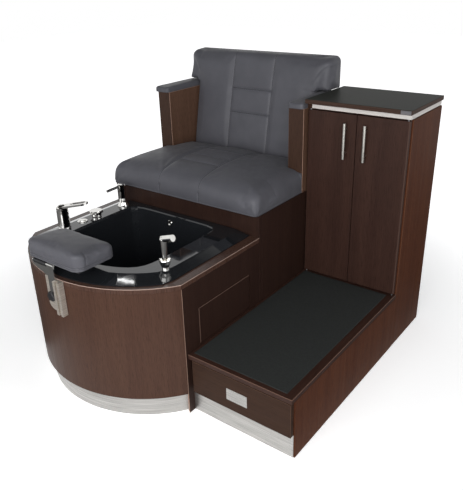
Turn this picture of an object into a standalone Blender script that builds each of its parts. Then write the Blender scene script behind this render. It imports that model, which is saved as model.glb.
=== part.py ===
"""Pedicure spa chair: an upholstered seat on a wood base, a jetted foot basin in front of it,
and a step with a drawer and a two-door cabinet beside it.

Metres, +Z up, the client faces -Y and the cabinet is at +X. Sizes are written in the chair's own
frame, whose origin is the floor under the front left corner of the seat base. The empty
"chair_frame" carries every piece and puts the origin under the middle of the whole object.
"""

from math import acos, asin, atan2, ceil, cos, exp, log, pi, radians, sin, sqrt, tan

import bmesh
import bpy
from mathutils import Matrix, Vector

# ---------------------------------------------------------------- driving sizes
JOINT_GAP = 0.0003
BOARD = 0.018
EDGE_ROUND = 0.0012

CHAIR_WIDTH = 0.760
CHAIR_DEPTH = 0.631
BASE_TOP = 0.606
DECK_TOP = 0.521
BASIN_CORNER_Y = -0.441
APRON_BOW = 0.198
APRON_THICKNESS = 0.016
APRON_STEPS = 40
KICK_HEIGHT = 0.085
KICK_RECESS = 0.022
KICK_THICKNESS = 0.012

SERVICE_FRONT_Y = -0.362
SERVICE_BACK_Y = -0.065
SERVICE_TOP = 0.396
SERVICE_ABOVE_STEP = 0.006
SERVICE_REBATE = 0.012
SERVICE_PANEL_THICKNESS = 0.0115
SERVICE_CLEARANCE = 0.0015

FLANGE_INSET = 0.038
FLANGE_FRONT_INSET = 0.016
FLANGE_BACK_INSET = 0.003
FLANGE_EDGE_RISE = 0.0045
CREST_INSET_RIGHT = 0.080
CREST_INSET_LEFT = 0.066
CREST_FRONT_INSET = 0.077
PLATEAU_RISE = 0.0145
LIP_INSET_LEFT = 0.145
LIP_INSET_RIGHT = 0.170
LIP_INSET_BACK = 0.035
LIP_FRONT_INSET = 0.130
LIP_ROUND = 0.007
TUB_WALL = 0.0035
TUB_DRAFT = 0.035
TUB_FLOOR_FILLET = 0.040
TUB_FLOOR_TOP = 0.235
TUB_CENTRE_Y = -0.245
WALL_START_SHARE = 0.06
LIP_SOFTNESS = 0.020
TUB_STEPS = 64
DECK_CUT_CLEARANCE = 0.006

DRAIN_HOLE_RADIUS = 0.026
DRAIN_NECK_CLEARANCE = 0.0015
DRAIN_FLANGE_RADIUS = 0.036
DRAIN_FLANGE_THICKNESS = 0.003
DRAIN_BORE_RADIUS = 0.0185
DRAIN_TAIL_BOTTOM = 0.060
STOPPER_RADIUS = 0.0225
STOPPER_THICKNESS = 0.006
STOPPER_STEM_RADIUS = 0.004
STOPPER_STEM_LENGTH = 0.070

OVERFLOW_OFFSET = -0.0225
OVERFLOW_Z = 0.500
OVERFLOW_RADIUS = 0.0115
OVERFLOW_NECK_LENGTH = 0.0085
OVERFLOW_BORE_RADIUS = 0.0045
JET_Z = 0.350
JET_FACE_RADIUS = 0.038
JET_FACE_THICKNESS = 0.010
JET_FACE_STANDOFF = 0.0035
JET_NECK_RADIUS = 0.024
PUMP_RADIUS = 0.042
PUMP_LENGTH = 0.075
PUMP_NECK_LENGTH = 0.030
WALL_HOLE_CLEARANCE = 0.0008

SHANK_CLEARANCE = 0.0005
SHANK_LENGTH = 0.060
MIXER_PLACE = Vector((0.098, -0.370))
MIXER_SHANK_RADIUS = 0.014
MIXER_BASE_RADIUS = 0.0245
MIXER_BODY_RADIUS = 0.0225
MIXER_BODY_HEIGHT = 0.072
MIXER_CAP_HEIGHT = 0.010
MIXER_DOME_HEIGHT = 0.018
MIXER_LEVER_REACH = 0.107
MIXER_LEVER_WIDTH = 0.040
MIXER_LEVER_THICKNESS = 0.0075
MIXER_LEVER_RISE = radians(9)
MIXER_LEVER_TURN = radians(32)
MIXER_SLOT_WIDTH = 0.021
MIXER_SLOT_START = 0.036
VALVE_PLACE = Vector((0.114, -0.0735))
VALVE_SHANK_RADIUS = 0.011
VALVE_BASE_RADIUS = 0.0240
VALVE_WAIST_RADIUS = 0.0152
VALVE_HEIGHT = 0.083
VALVE_CAP_RADIUS = 0.0190
VALVE_CAP_HEIGHT = 0.016
VALVE_PIN_RADIUS = 0.0056
VALVE_PIN_REACH = 0.079
BUTTON_PLACE = Vector((0.099, -0.283))
BUTTON_RADIUS = 0.0135
BUTTON_PROUD = 0.0065
BUTTON_DEPTH = 0.020
BEZEL_RADIUS = 0.0205
BEZEL_SHANK_RADIUS = 0.0163
BEZEL_THICKNESS = 0.0035
BUTTON_CLEARANCE = 0.0004
KNOB_PLACE = Vector((0.1035, -0.2134))
KNOB_RADIUS = 0.0280
KNOB_SKIRT_RADIUS = 0.0205
KNOB_HEIGHT = 0.026
KNOB_LOBES = 8
KNOB_SPINDLE_RADIUS = 0.006
SPRAYER_INSET_RIGHT = 0.096
SPRAYER_Y = -0.407
SPRAYER_SHANK_RADIUS = 0.0125
SPRAYER_CUP_RADIUS = 0.0205
SPRAYER_CUP_HEIGHT = 0.038
SPRAYER_BORE_RADIUS = 0.0085
SPRAYER_HANDLE_LOW_RADIUS = 0.0078
SPRAYER_HANDLE_TOP_RADIUS = 0.0125
SPRAYER_HEAD_RADIUS = 0.0115
SPRAYER_HEAD_HEIGHT = 0.116
SPRAYER_HEAD_REACH = 0.046
SPRAYER_HEAD_RISE = radians(18)
SPRAYER_HOSE_RADIUS = 0.0065
SPRAYER_HOSE_DROP = 0.240

SEAT_FRONT_OVERHANG = 0.016
SEAT_SIDE_HEIGHT = 0.088
SEAT_CROWN = 0.040
SEAT_EDGE_ROUND = 0.036
SEAM_OFFSET = 0.104
SEAM_DEPTH = 0.006
SEAM_HALF_WIDTH = 0.009
SEAT_CHANNELS = (0.118, 0.200, 0.300)
SEAT_UNDER_BACK = 0.003
CUSHION_CLEARANCE = 0.0015

BACK_FOOT_DEPTH = 0.1745
BACK_RECLINE = radians(11.1)
BACK_TOP_Z = 1.102
BACK_WING_BOTTOM_Z = 0.984
BACK_WING_INSET = 0.011
BACK_WING_CORNER = 0.024
BACK_CROWN = 0.015
BACK_EDGE_ROUND = 0.024
BACK_CHANNELS = (0.851, 0.953)
BACK_PANEL_TOP = 0.940

ARM_WIDTH = 0.068
ARM_LENGTH = 0.326
ARM_TOP = 0.943
ARM_PAD_THICKNESS = 0.025
ARM_PAD_OVERHANG = 0.010
ARM_PAD_ROUND = 0.008
ARM_PAD_BACK_INSET = 0.031

CABINET_RIGHT = 1.175
CABINET_DEPTH = 0.302
CABINET_BODY_TOP = 0.942
CABINET_FLOOR_TOP = 0.275
CABINET_BACK_THICKNESS = 0.012
SHELF_TOP = 0.600
SHELF_SETBACK = 0.020
SLAB_BOTTOM = 0.9641
SLAB_TOP = 0.981
SLAB_FRONT_OVERHANG = 0.019
SLAB_SIDE_OVERHANG = 0.005
SLAB_BACK_INSET = 0.005
REVEAL_BOARD_SETBACK = 0.0042
REVEAL_BAND_THICKNESS = 0.0015
REVEAL_BAND_START = 0.0205
REVEAL_BAND_LIP = 0.0030
DOOR_THICKNESS = 0.018
DOOR_BACK_GAP = 0.0024
DOOR_OUTER_REVEAL = 0.0045
DOOR_MEETING_OFFSET = 0.00235
DOOR_MEETING_GAP = 0.003
DOOR_BOTTOM = 0.2555
DOOR_TOP = 0.9392
DOOR_HEEL_ROUND = 0.006
PIVOT_ROD_RADIUS = 0.003
PIVOT_ROD_CLEARANCE = 0.0001
PIVOT_ROD_SEAT = 0.008
HANDLE_OFFSET = 0.0405
HANDLE_STANDOFF = 0.018
HANDLE_RADIUS = 0.0055
HANDLE_POST_RADIUS = 0.0040
HANDLE_LENGTH = 0.136
HANDLE_MIDDLE_Z = 0.840
HANDLE_POST_SPACING = 0.092

STEP_TOP = 0.247
STEP_FRONT_Y = -0.431
STEP_SIDE_SETBACK = 0.0030
STEP_MAT_LEFT = 0.011
STEP_MAT_RIGHT = 0.029
STEP_MAT_FRONT = 0.019
STEP_MAT_BACK = 0.003
STEP_MAT_THICKNESS = 0.004
STEP_MAT_RECESS = 0.003
STEP_MAT_CLEARANCE = 0.0008
STEP_KICK_TOP = 0.0925
STEP_KICK_THICKNESS = 0.003
STEP_KICK_END = 0.0045
DRAWER_BOTTOM = 0.0958
DRAWER_TOP_GAP = 0.0025
DRAWER_LEFT_GAP = 0.0155
DRAWER_RIGHT_GAP = 0.003
DRAWER_BOX_DEPTH = 0.400
DRAWER_BOX_BOTTOM = 0.100
DRAWER_BOX_TOP = 0.212
DRAWER_WALL = 0.012
RUNNER_THICKNESS = 0.0120
RUNNER_CLEARANCE = 0.0005
RUNNER_HEIGHT = 0.035
RUNNER_LENGTH = 0.380
RUNNER_BOTTOM = 0.135

FOOTREST_PLATE_TO_LEFT = 0.050
FOOTREST_PLATE_TO_RIGHT = 0.040
FOOTREST_PLATE_BOTTOM = 0.392
FOOTREST_PLATE_TOP = 0.519
FOOTREST_PLATE_THICKNESS = 0.003
FOOTREST_PLATE_CORNER = 0.026
FOOTREST_RIB_WIDTH = 0.032
FOOTREST_RIB_DEPTH = 0.017
FOOTREST_RIB_GROOVE = 0.010
FOOTREST_SLOT_WIDTH = 0.0075
FOOTREST_SLOT_BOTTOM = 0.412
FOOTREST_SLOT_TOP = 0.506
STRAP_WIDTH = 0.036
STRAP_THICKNESS = 0.004
STRAP_RIB_CLEARANCE = 0.0008
STRAP_BOTTOM = 0.440
STRAP_FLARE_LOW_Z = 0.524
STRAP_FLARE_HIGH_Z = 0.550
STRAP_FLARE_TO_LEFT = 0.098
STRAP_TOP = 0.5575
STRAP_EAR = 0.005
CLAMP_BOLT_RADIUS = 0.0035
CLAMP_Z = 0.456
CLAMP_HOLE_RADIUS = 0.0040
CLAMP_KNOB_RADIUS = 0.0185
CLAMP_KNOB_THICKNESS = 0.016
CLAMP_KNOB_LOBES = 6
HINGE_AXIS_Z = 0.567
HINGE_ROD_RADIUS = 0.0045
HINGE_BARREL_WALL = 0.0022
HINGE_CLEARANCE = 0.0001
HINGE_END_CLEARANCE = 0.0010
PAD_BOARD_THICKNESS = 0.008
PAD_OFFSET = 0.0
PAD_WIDTH = 0.270
PAD_BEYOND_APRON = 0.007
PAD_DEPTH = 0.168
PAD_TOP = 0.632
PAD_SIDE_HEIGHT = 0.036
PAD_CROWN = 0.020
PAD_EDGE_ROUND = 0.020
PAD_CORNER = 0.040
PAD_BOARD_INSET = 0.014

# ---------------------------------------------------------------- worked-out sizes
MIDDLE_X = CHAIR_WIDTH / 2
APRON_RADIUS = CHAIR_WIDTH**2 / (8 * APRON_BOW) + APRON_BOW / 2
ARC_CENTRE = Vector((MIDDLE_X, BASIN_CORNER_Y - APRON_BOW + APRON_RADIUS))
TUB_CENTRE = Vector(((LIP_INSET_LEFT + CHAIR_WIDTH - LIP_INSET_RIGHT) / 2, TUB_CENTRE_Y))
OVERFLOW_X = TUB_CENTRE[0] + OVERFLOW_OFFSET
SPRAYER_PLACE = Vector((CHAIR_WIDTH - SPRAYER_INSET_RIGHT, SPRAYER_Y))
APRON_HALF_ANGLE = asin(MIDDLE_X / APRON_RADIUS)
APRON_FRONT_Y = BASIN_CORNER_Y - APRON_BOW
PANEL_TOP_BELOW_DECK = DECK_TOP - BOARD - JOINT_GAP
PLATEAU_Z = DECK_TOP + PLATEAU_RISE
CUSHION_REST_Z = BASE_TOP + JOINT_GAP
CABINET_LEFT = CHAIR_WIDTH + JOINT_GAP
CABINET_FRONT_Y = CHAIR_DEPTH - CABINET_DEPTH
DOOR_MEETING_X = (CABINET_LEFT + CABINET_RIGHT) / 2 + DOOR_MEETING_OFFSET
CARCASS_FRONT_Y = CABINET_FRONT_Y + DOOR_THICKNESS + DOOR_BACK_GAP
PIVOT_Y = CABINET_FRONT_Y + DOOR_THICKNESS / 2
PIVOT_LEFT_X = CABINET_LEFT + DOOR_OUTER_REVEAL + DOOR_THICKNESS / 2
PIVOT_RIGHT_X = CABINET_RIGHT - DOOR_OUTER_REVEAL - DOOR_THICKNESS / 2
STEP_BOARD_BOTTOM = STEP_TOP - BOARD
STEP_BACK_Y = CARCASS_FRONT_Y - JOINT_GAP
STEP_UNDER_TOP = STEP_BOARD_BOTTOM - JOINT_GAP
STEP_SIDE_FRONT_Y = STEP_FRONT_Y + BOARD + STEP_SIDE_SETBACK
DRAWER_LEFT = CABINET_LEFT + DRAWER_LEFT_GAP
DRAWER_RIGHT = CABINET_RIGHT - DRAWER_RIGHT_GAP
FOOTREST_PLATE_LEFT = MIDDLE_X - FOOTREST_PLATE_TO_LEFT
FOOTREST_PLATE_RIGHT = MIDDLE_X + FOOTREST_PLATE_TO_RIGHT
PLATE_BACK_Y = APRON_FRONT_Y - JOINT_GAP
PLATE_FRONT_Y = PLATE_BACK_Y - FOOTREST_PLATE_THICKNESS
STRAP_BACK_Y = PLATE_FRONT_Y - JOINT_GAP
STRAP_FRONT_Y = STRAP_BACK_Y - STRAP_THICKNESS
RIB_LEFT = FOOTREST_PLATE_RIGHT - FOOTREST_RIB_WIDTH
STRAP_RIGHT = RIB_LEFT - STRAP_RIB_CLEARANCE
STRAP_LEFT = STRAP_RIGHT - STRAP_WIDTH
STRAP_MIDDLE_X = STRAP_RIGHT - STRAP_WIDTH / 2
STRAP_FLARE_LEFT = MIDDLE_X - STRAP_FLARE_TO_LEFT
KNOB_BACK_Y = STRAP_FRONT_Y - JOINT_GAP
KNOB_FRONT_Y = KNOB_BACK_Y - CLAMP_KNOB_THICKNESS
HINGE_Y = STRAP_BACK_Y - STRAP_THICKNESS / 2
PAD_CENTRE_X = MIDDLE_X + PAD_OFFSET
PAD_FRONT_Y = APRON_FRONT_Y - PAD_BEYOND_APRON
PAD_BOTTOM = PAD_TOP - PAD_SIDE_HEIGHT - PAD_CROWN
BOARD_TOP = PAD_BOTTOM - JOINT_GAP
WALL_SLOPE = atan2(TUB_DRAFT, DECK_TOP - TUB_FLOOR_TOP - TUB_FLOOR_FILLET)
BACK_FRONT_SLOPE = tan(BACK_RECLINE)
BACK_PLANE_Y = CHAIR_DEPTH - BOARD - CUSHION_CLEARANCE
BACK_FRONT_Y = BACK_PLANE_Y - BACK_FOOT_DEPTH
SEAT_BACK_Y = BACK_FRONT_Y + SEAT_UNDER_BACK
ARM_FRONT_Y = CHAIR_DEPTH - ARM_LENGTH
ARM_PAD_BACK_Y = CHAIR_DEPTH - ARM_PAD_BACK_INSET

OBJECT_LEFT = -ARM_PAD_OVERHANG
OBJECT_RIGHT = CABINET_RIGHT + SLAB_SIDE_OVERHANG
OBJECT_FRONT = KNOB_FRONT_Y
OBJECT_BACK = CHAIR_DEPTH
ORIGIN = Vector(((OBJECT_LEFT + OBJECT_RIGHT) / 2, (OBJECT_FRONT + OBJECT_BACK) / 2, 0))


# ---------------------------------------------------------------- scene and finishes
def clear_scene():
    for old in list(bpy.data.objects):
        bpy.data.objects.remove(old, do_unlink=True)


def new_collection(name):
    made = bpy.data.collections.new(name)
    bpy.context.scene.collection.children.link(made)
    return made


def finish(name, colour, roughness, metallic=0.0):
    material = bpy.data.materials.new(name)
    material.use_nodes = True
    shader = material.node_tree.nodes["Principled BSDF"]
    shader.inputs["Base Color"].default_value = (*colour, 1.0)
    shader.inputs["Roughness"].default_value = roughness
    shader.inputs["Metallic"].default_value = metallic
    return material


clear_scene()
PARTS = new_collection("pedicure_spa_chair")
CUTTERS = new_collection("cutters")

WENGE = finish("wenge_veneer", (0.060, 0.030, 0.022), 0.35)
VINYL = finish("grey_vinyl", (0.085, 0.088, 0.097), 0.50)
ACRYLIC = finish("black_acrylic", (0.004, 0.004, 0.005), 0.06)
CHROME = finish("chrome_plate", (0.78, 0.78, 0.79), 0.06, 1.0)
ALUMINIUM = finish("brushed_aluminium", (0.60, 0.59, 0.57), 0.35, 1.0)
STEEL = finish("zinc_steel", (0.50, 0.50, 0.50), 0.40, 1.0)
RUBBER = finish("ribbed_rubber", (0.020, 0.024, 0.023), 0.80)
LAMINATE = finish("dark_laminate", (0.055, 0.060, 0.052), 0.45)
PLASTIC = finish("black_plastic", (0.012, 0.012, 0.013), 0.45)
BIRCH = finish("drawer_birch", (0.42, 0.32, 0.20), 0.50)

CHAIR = bpy.data.objects.new("chair_frame", None)
CHAIR.location = -ORIGIN
PARTS.objects.link(CHAIR)


# ---------------------------------------------------------------- shape tools
def add_object(name, data, material, origin=(0, 0, 0), collection=PARTS):
    """An object whose mesh is written around origin, a place in the chair's frame."""
    made = bpy.data.objects.new(name, data)
    if material is not None:
        data.materials.append(material)
    collection.objects.link(made)
    made.parent = CHAIR
    made.location = origin
    return made


def mesh_of(name, bm):
    bm.normal_update()
    bmesh.ops.recalc_face_normals(bm, faces=bm.faces)
    mesh = bpy.data.meshes.new(name)
    bm.to_mesh(mesh)
    bm.free()
    return mesh


def smooth(made, angle=radians(35)):
    made.data.shade_smooth()
    made.data.set_sharp_from_angle(angle=angle)
    return made


def soften(made, width=EDGE_ROUND, segments=1):
    """A small arris on every sharp edge of a board."""
    bevel = made.modifiers.new("arris", "BEVEL")
    bevel.width = width
    bevel.segments = segments
    bevel.limit_method = "ANGLE"
    bevel.angle_limit = radians(40)
    return made


def box(name, low, high, material, origin=None, collection=PARTS):
    """A box between two corners, with its origin at its middle or at the joint it turns about."""
    low = Vector(low)
    high = Vector(high)
    middle = (low + high) / 2
    origin = middle if origin is None else Vector(origin)
    bm = bmesh.new()
    bmesh.ops.create_cube(bm, size=1.0)
    bmesh.ops.scale(bm, vec=high - low, verts=bm.verts)
    bmesh.ops.translate(bm, vec=middle - origin, verts=bm.verts)
    return add_object(name, mesh_of(name, bm), material, origin, collection)


def arc(centre, radius, start, end, steps):
    """Points on an arc. Angles are measured from the front, -Y, towards +X."""
    points = []
    for step in range(steps + 1):
        angle = start + (end - start) * step / steps
        points.append((centre[0] + radius * sin(angle), centre[1] - radius * cos(angle)))
    return points


def circle(centre, radius, steps=24):
    return arc(centre, radius, 0, 2 * pi, steps)[:-1]


TURNS = {
    "Z": Matrix.Identity(3),
    "X": Matrix(((0, 0, 1), (1, 0, 0), (0, 1, 0))),
    "Y": Matrix(((1, 0, 0), (0, 0, -1), (0, 1, 0))),
}


def plate(name, outline, low, high, material, along="Z", holes=(), origin=None):
    """A flat outline made thick from low to high along an axis, with holes, as a closed mesh.

    The outline is in X and Y for along Z, Y and Z for along X, and X and Z for along Y.
    """
    curve = bpy.data.curves.new(name, "CURVE")
    curve.dimensions = "2D"
    curve.fill_mode = "BOTH"
    curve.extrude = (high - low) / 2
    for loop in (outline, *holes):
        spline = curve.splines.new("POLY")
        spline.points.add(len(loop) - 1)
        for point, place in zip(spline.points, loop):
            point.co = (place[0], place[1], 0, 1)
        spline.use_cyclic_u = True
    guide = bpy.data.objects.new(name + "_outline", curve)
    CUTTERS.objects.link(guide)
    bpy.context.view_layer.update()
    mesh = bpy.data.meshes.new_from_object(guide.evaluated_get(bpy.context.evaluated_depsgraph_get()))
    bpy.data.objects.remove(guide)
    bm = bmesh.new()
    bm.from_mesh(mesh)
    bpy.data.meshes.remove(mesh)
    bmesh.ops.remove_doubles(bm, verts=bm.verts, dist=1e-6)
    bmesh.ops.dissolve_limit(bm, angle_limit=radians(0.05), verts=bm.verts, edges=bm.edges)
    turn = TURNS[along]
    shift = turn @ Vector((0, 0, (low + high) / 2 * (-1 if along == "Y" else 1)))
    start = Vector((0, 0, 0)) if origin is None else Vector(origin)
    for vertex in bm.verts:
        vertex.co = turn @ vertex.co + shift - start
    return add_object(name, mesh_of(name, bm), material, start)


def turned(name, profile, material, origin, steps=32, turn=None, collection=PARTS):
    """A profile of (radius, height) points, top to bottom down its outer side, turned about Z."""
    bm = bmesh.new()
    points = [bm.verts.new((radius, 0, height)) for radius, height in profile]
    for first, second in zip(points, points[1:]):
        bm.edges.new((first, second))
    if profile[0][0] > 0:
        bm.edges.new((points[-1], points[0]))
    mesh = bpy.data.meshes.new(name)
    bm.to_mesh(mesh)
    bm.free()
    made = add_object(name, mesh, material, origin, collection)
    screw = made.modifiers.new("turn", "SCREW")
    screw.steps = steps
    screw.render_steps = steps
    screw.use_merge_vertices = True
    screw.merge_threshold = 0.00002
    screw.use_smooth_shade = True
    if turn is not None:
        made.rotation_euler = turn
    return made


def rod(name, start, end, radius, material, steps=16, origin=None, collection=PARTS):
    """A round bar between two places."""
    start = Vector(start)
    end = Vector(end)
    middle = (start + end) / 2
    origin = middle if origin is None else Vector(origin)
    bm = bmesh.new()
    bmesh.ops.create_cone(
        bm, cap_ends=True, segments=steps, radius1=radius, radius2=radius, depth=(end - start).length
    )
    tilt = Vector((0, 0, 1)).rotation_difference(end - start).to_matrix().to_4x4()
    bm.transform(Matrix.Translation(middle - origin) @ tilt)
    return add_object(name, mesh_of(name, bm), material, origin, collection)


def hide_tool(tool):
    tool.hide_render = True
    tool.display_type = "WIRE"
    return tool


def combine(made, tool, operation):
    """Cuts a tool out of an object, or joins it on. The tool stays as a hidden guide."""
    step = made.modifiers.new(operation.lower(), "BOOLEAN")
    step.operation = operation
    step.solver = "EXACT"
    step.object = hide_tool(tool)
    if tool.name not in CUTTERS.objects:
        CUTTERS.objects.link(tool)
        PARTS.objects.unlink(tool)
    return made


def lobed(name, rows, lobes, material, origin, steps=48, turn=None):
    """A knob lofted from (radius, height, lobe depth) rows, bottom to top."""
    bm = bmesh.new()
    rings = []
    for radius, height, depth in rows:
        ring = []
        for step in range(steps):
            angle = 2 * pi * step / steps
            reach = radius - depth * (1 - cos(lobes * angle)) / 2
            ring.append(bm.verts.new((reach * cos(angle), reach * sin(angle), height)))
        rings.append(ring)
    loft(bm, rings)
    bm.faces.new(list(reversed(rings[0])))
    bm.faces.new(rings[-1])
    made = add_object(name, mesh_of(name, bm), material, origin)
    if turn is not None:
        made.rotation_euler = turn
    return smooth(made)


def loft(bm, rings):
    """Quads between closed rings that have the same number of points."""
    for low, high in zip(rings, rings[1:]):
        count = len(low)
        for index in range(count):
            after = (index + 1) % count
            bm.faces.new((low[index], low[after], high[after], high[index]))


# ---------------------------------------------------------------- basin enclosure
def apron_band(outer_radius, thickness, half_angle):
    outer = arc(ARC_CENTRE, outer_radius, -half_angle, half_angle, APRON_STEPS)
    inner = arc(ARC_CENTRE, outer_radius - thickness, half_angle, -half_angle, APRON_STEPS)
    return outer + inner


def build_apron():
    outline = apron_band(APRON_RADIUS, APRON_THICKNESS, APRON_HALF_ANGLE)
    soften(smooth(plate("apron", outline, KICK_HEIGHT, PANEL_TOP_BELOW_DECK, WENGE)))
    kick_radius = APRON_RADIUS - KICK_RECESS
    half_angle = asin((MIDDLE_X - BOARD - JOINT_GAP) / kick_radius)
    outline = apron_band(kick_radius, KICK_THICKNESS, half_angle)
    smooth(plate("apron_kick_plate", outline, 0, KICK_HEIGHT - JOINT_GAP, ALUMINIUM))


def basin_side_outline(outer_x, inner_x):
    """The side's front end is mitred along the apron's own end."""
    mitre = (ARC_CENTRE[1] - BASIN_CORNER_Y) / MIDDLE_X * BOARD
    start = BASIN_CORNER_Y + 2 * JOINT_GAP
    return [(outer_x, start), (outer_x, -JOINT_GAP), (inner_x, -JOINT_GAP), (inner_x, start + mitre)]


def build_basin_sides():
    soften(plate("basin_side_left", basin_side_outline(0, BOARD), 0, PANEL_TOP_BELOW_DECK, WENGE))
    inner_x = CHAIR_WIDTH - BOARD
    side = plate(
        "basin_side_right", basin_side_outline(CHAIR_WIDTH, inner_x), 0, PANEL_TOP_BELOW_DECK, WENGE
    )
    soften(side)
    low_z = STEP_TOP + SERVICE_ABOVE_STEP
    rebate_x = CHAIR_WIDTH - SERVICE_PANEL_THICKNESS - JOINT_GAP
    pocket = box(
        "service_pocket",
        (rebate_x, SERVICE_FRONT_Y, low_z),
        (CHAIR_WIDTH + BOARD, SERVICE_BACK_Y, SERVICE_TOP),
        None,
        collection=CUTTERS,
    )
    window = box(
        "service_window",
        (inner_x - BOARD, SERVICE_FRONT_Y + SERVICE_REBATE, low_z + SERVICE_REBATE),
        (CHAIR_WIDTH + BOARD, SERVICE_BACK_Y - SERVICE_REBATE, SERVICE_TOP - SERVICE_REBATE),
        None,
        collection=CUTTERS,
    )
    combine(side, pocket, "DIFFERENCE")
    combine(side, window, "DIFFERENCE")
    gap = SERVICE_CLEARANCE
    soften(
        box(
            "service_panel",
            (rebate_x + JOINT_GAP, SERVICE_FRONT_Y + gap, low_z + gap),
            (CHAIR_WIDTH, SERVICE_BACK_Y - gap, SERVICE_TOP - gap),
            WENGE,
        )
    )


# ---------------------------------------------------------------- tub and deck
def soft_largest(distances, softness):
    """The largest of some distances, rounded where two of them meet."""
    peak = max(distances)
    return peak + softness * log(sum(exp((each - peak) / softness) for each in distances))


def tub_wall(start, way, left, right, back, front, softness):
    """Where the tub's wall stands, from start along way, with these insets from the enclosure."""
    near, far = 0.0, 1.0
    while far - near > 1e-6:
        reach = (near + far) / 2
        place = start + way * reach
        outside = soft_largest(
            (
                left - place[0],
                place[0] - (CHAIR_WIDTH - right),
                place[1] + back,
                (place - ARC_CENTRE).length - (APRON_RADIUS - front),
            ),
            softness,
        )
        if outside > 0:
            far = reach
        else:
            near = reach
    return start + way * near


def tub_ring(left, right, back, front, softness, steps=TUB_STEPS):
    """One level of the tub: insets from the enclosure's left, right, back and bowed front."""
    ring = []
    for step in range(steps):
        angle = 2 * pi * step / steps
        way = Vector((cos(angle), sin(angle)))
        ring.append(tuple(tub_wall(TUB_CENTRE, way, left, right, back, front, softness)))
    return ring


def lip_insets(inset):
    """The insets of the tub's inner outline, drawn in by inset all round."""
    return LIP_INSET_LEFT + inset, LIP_INSET_RIGHT + inset, LIP_INSET_BACK + inset, LIP_FRONT_INSET + inset


def lip_ring(inset):
    """The tub's inner outline, drawn in by inset all round."""
    return tub_ring(*lip_insets(inset), LIP_SOFTNESS)


def tub_levels():
    """The tub's inner face as (outline, height), from the flange's edge to the drain hole."""
    wall_top = DECK_TOP - LIP_ROUND
    fillet_top = TUB_FLOOR_TOP + TUB_FLOOR_FILLET
    flange = tub_ring(FLANGE_INSET, FLANGE_INSET, FLANGE_BACK_INSET, FLANGE_FRONT_INSET, 0.005)
    crest = tub_ring(
        CREST_INSET_LEFT, CREST_INSET_RIGHT, FLANGE_BACK_INSET + 0.002, CREST_FRONT_INSET, 0.010
    )
    plateau = tub_ring(
        CREST_INSET_LEFT + LIP_ROUND,
        CREST_INSET_RIGHT + LIP_ROUND,
        FLANGE_BACK_INSET + 0.004,
        CREST_FRONT_INSET + LIP_ROUND,
        0.010,
    )
    levels = [
        (flange, DECK_TOP + FLANGE_EDGE_RISE),
        (crest, PLATEAU_Z - 0.0015),
        (plateau, PLATEAU_Z),
        (lip_ring(-LIP_ROUND), PLATEAU_Z),
        (lip_ring(-LIP_ROUND * 0.3), PLATEAU_Z - LIP_ROUND * 0.3),
        (lip_ring(0), PLATEAU_Z - LIP_ROUND),
        (lip_ring(TUB_DRAFT * WALL_START_SHARE), wall_top),
        (lip_ring(TUB_DRAFT), fillet_top),
    ]
    for turn in (0.25, 0.5, 0.75, 1.0):
        angle = turn * pi / 2
        inset = TUB_DRAFT + TUB_FLOOR_FILLET * (1 - cos(angle))
        levels.append((lip_ring(inset), fillet_top - TUB_FLOOR_FILLET * 0.94 * sin(angle)))
    hole = [
        (TUB_CENTRE[0] + DRAIN_HOLE_RADIUS * cos(angle), TUB_CENTRE[1] + DRAIN_HOLE_RADIUS * sin(angle))
        for angle in (2 * pi * step / TUB_STEPS for step in range(TUB_STEPS))
    ]
    levels.append((hole, TUB_FLOOR_TOP))
    return levels


def deck_shanks():
    """Each fitting's place on the deck and the radius of its shank."""
    return (
        (MIXER_PLACE, MIXER_SHANK_RADIUS),
        (VALVE_PLACE, VALVE_SHANK_RADIUS),
        (BUTTON_PLACE, BEZEL_SHANK_RADIUS),
        (KNOB_PLACE, KNOB_SPINDLE_RADIUS),
        (SPRAYER_PLACE, SPRAYER_SHANK_RADIUS),
    )


def build_deck_frame():
    outline = arc(ARC_CENTRE, APRON_RADIUS, -APRON_HALF_ANGLE, APRON_HALF_ANGLE, APRON_STEPS)
    outline += [(CHAIR_WIDTH, -JOINT_GAP), (0, -JOINT_GAP)]
    opening = lip_ring(-DECK_CUT_CLEARANCE - TUB_WALL)
    holes = [opening]
    holes += [circle(place, radius + SHANK_CLEARANCE, 16) for place, radius in deck_shanks()]
    soften(plate("deck_frame", outline, DECK_TOP - BOARD, DECK_TOP, WENGE, holes=holes))


def wall_place(z, x=None, back=True):
    """A place on the inside of the tub's back or front wall at height z."""
    wall_top = DECK_TOP - LIP_ROUND
    fillet_top = TUB_FLOOR_TOP + TUB_FLOOR_FILLET
    share = (wall_top - z) / (wall_top - fillet_top)
    inset = TUB_DRAFT * (WALL_START_SHARE + (1 - WALL_START_SHARE) * share)
    start = Vector((TUB_CENTRE[0] if x is None else x, TUB_CENTRE[1]))
    way = Vector((0, 1 if back else -1))
    wall = tub_wall(start, way, *lip_insets(inset), LIP_SOFTNESS)
    return Vector((wall[0], wall[1], z))


def overflow_pose():
    """The overflow's place and its turn, with its axis square to the back wall."""
    return wall_place(OVERFLOW_Z, OVERFLOW_X), (pi / 2 - WALL_SLOPE, 0, 0)


def jet_pose():
    place = wall_place(JET_Z, MIDDLE_X, back=False)
    return place, (-pi / 2 + WALL_SLOPE, 0, 0)


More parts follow.
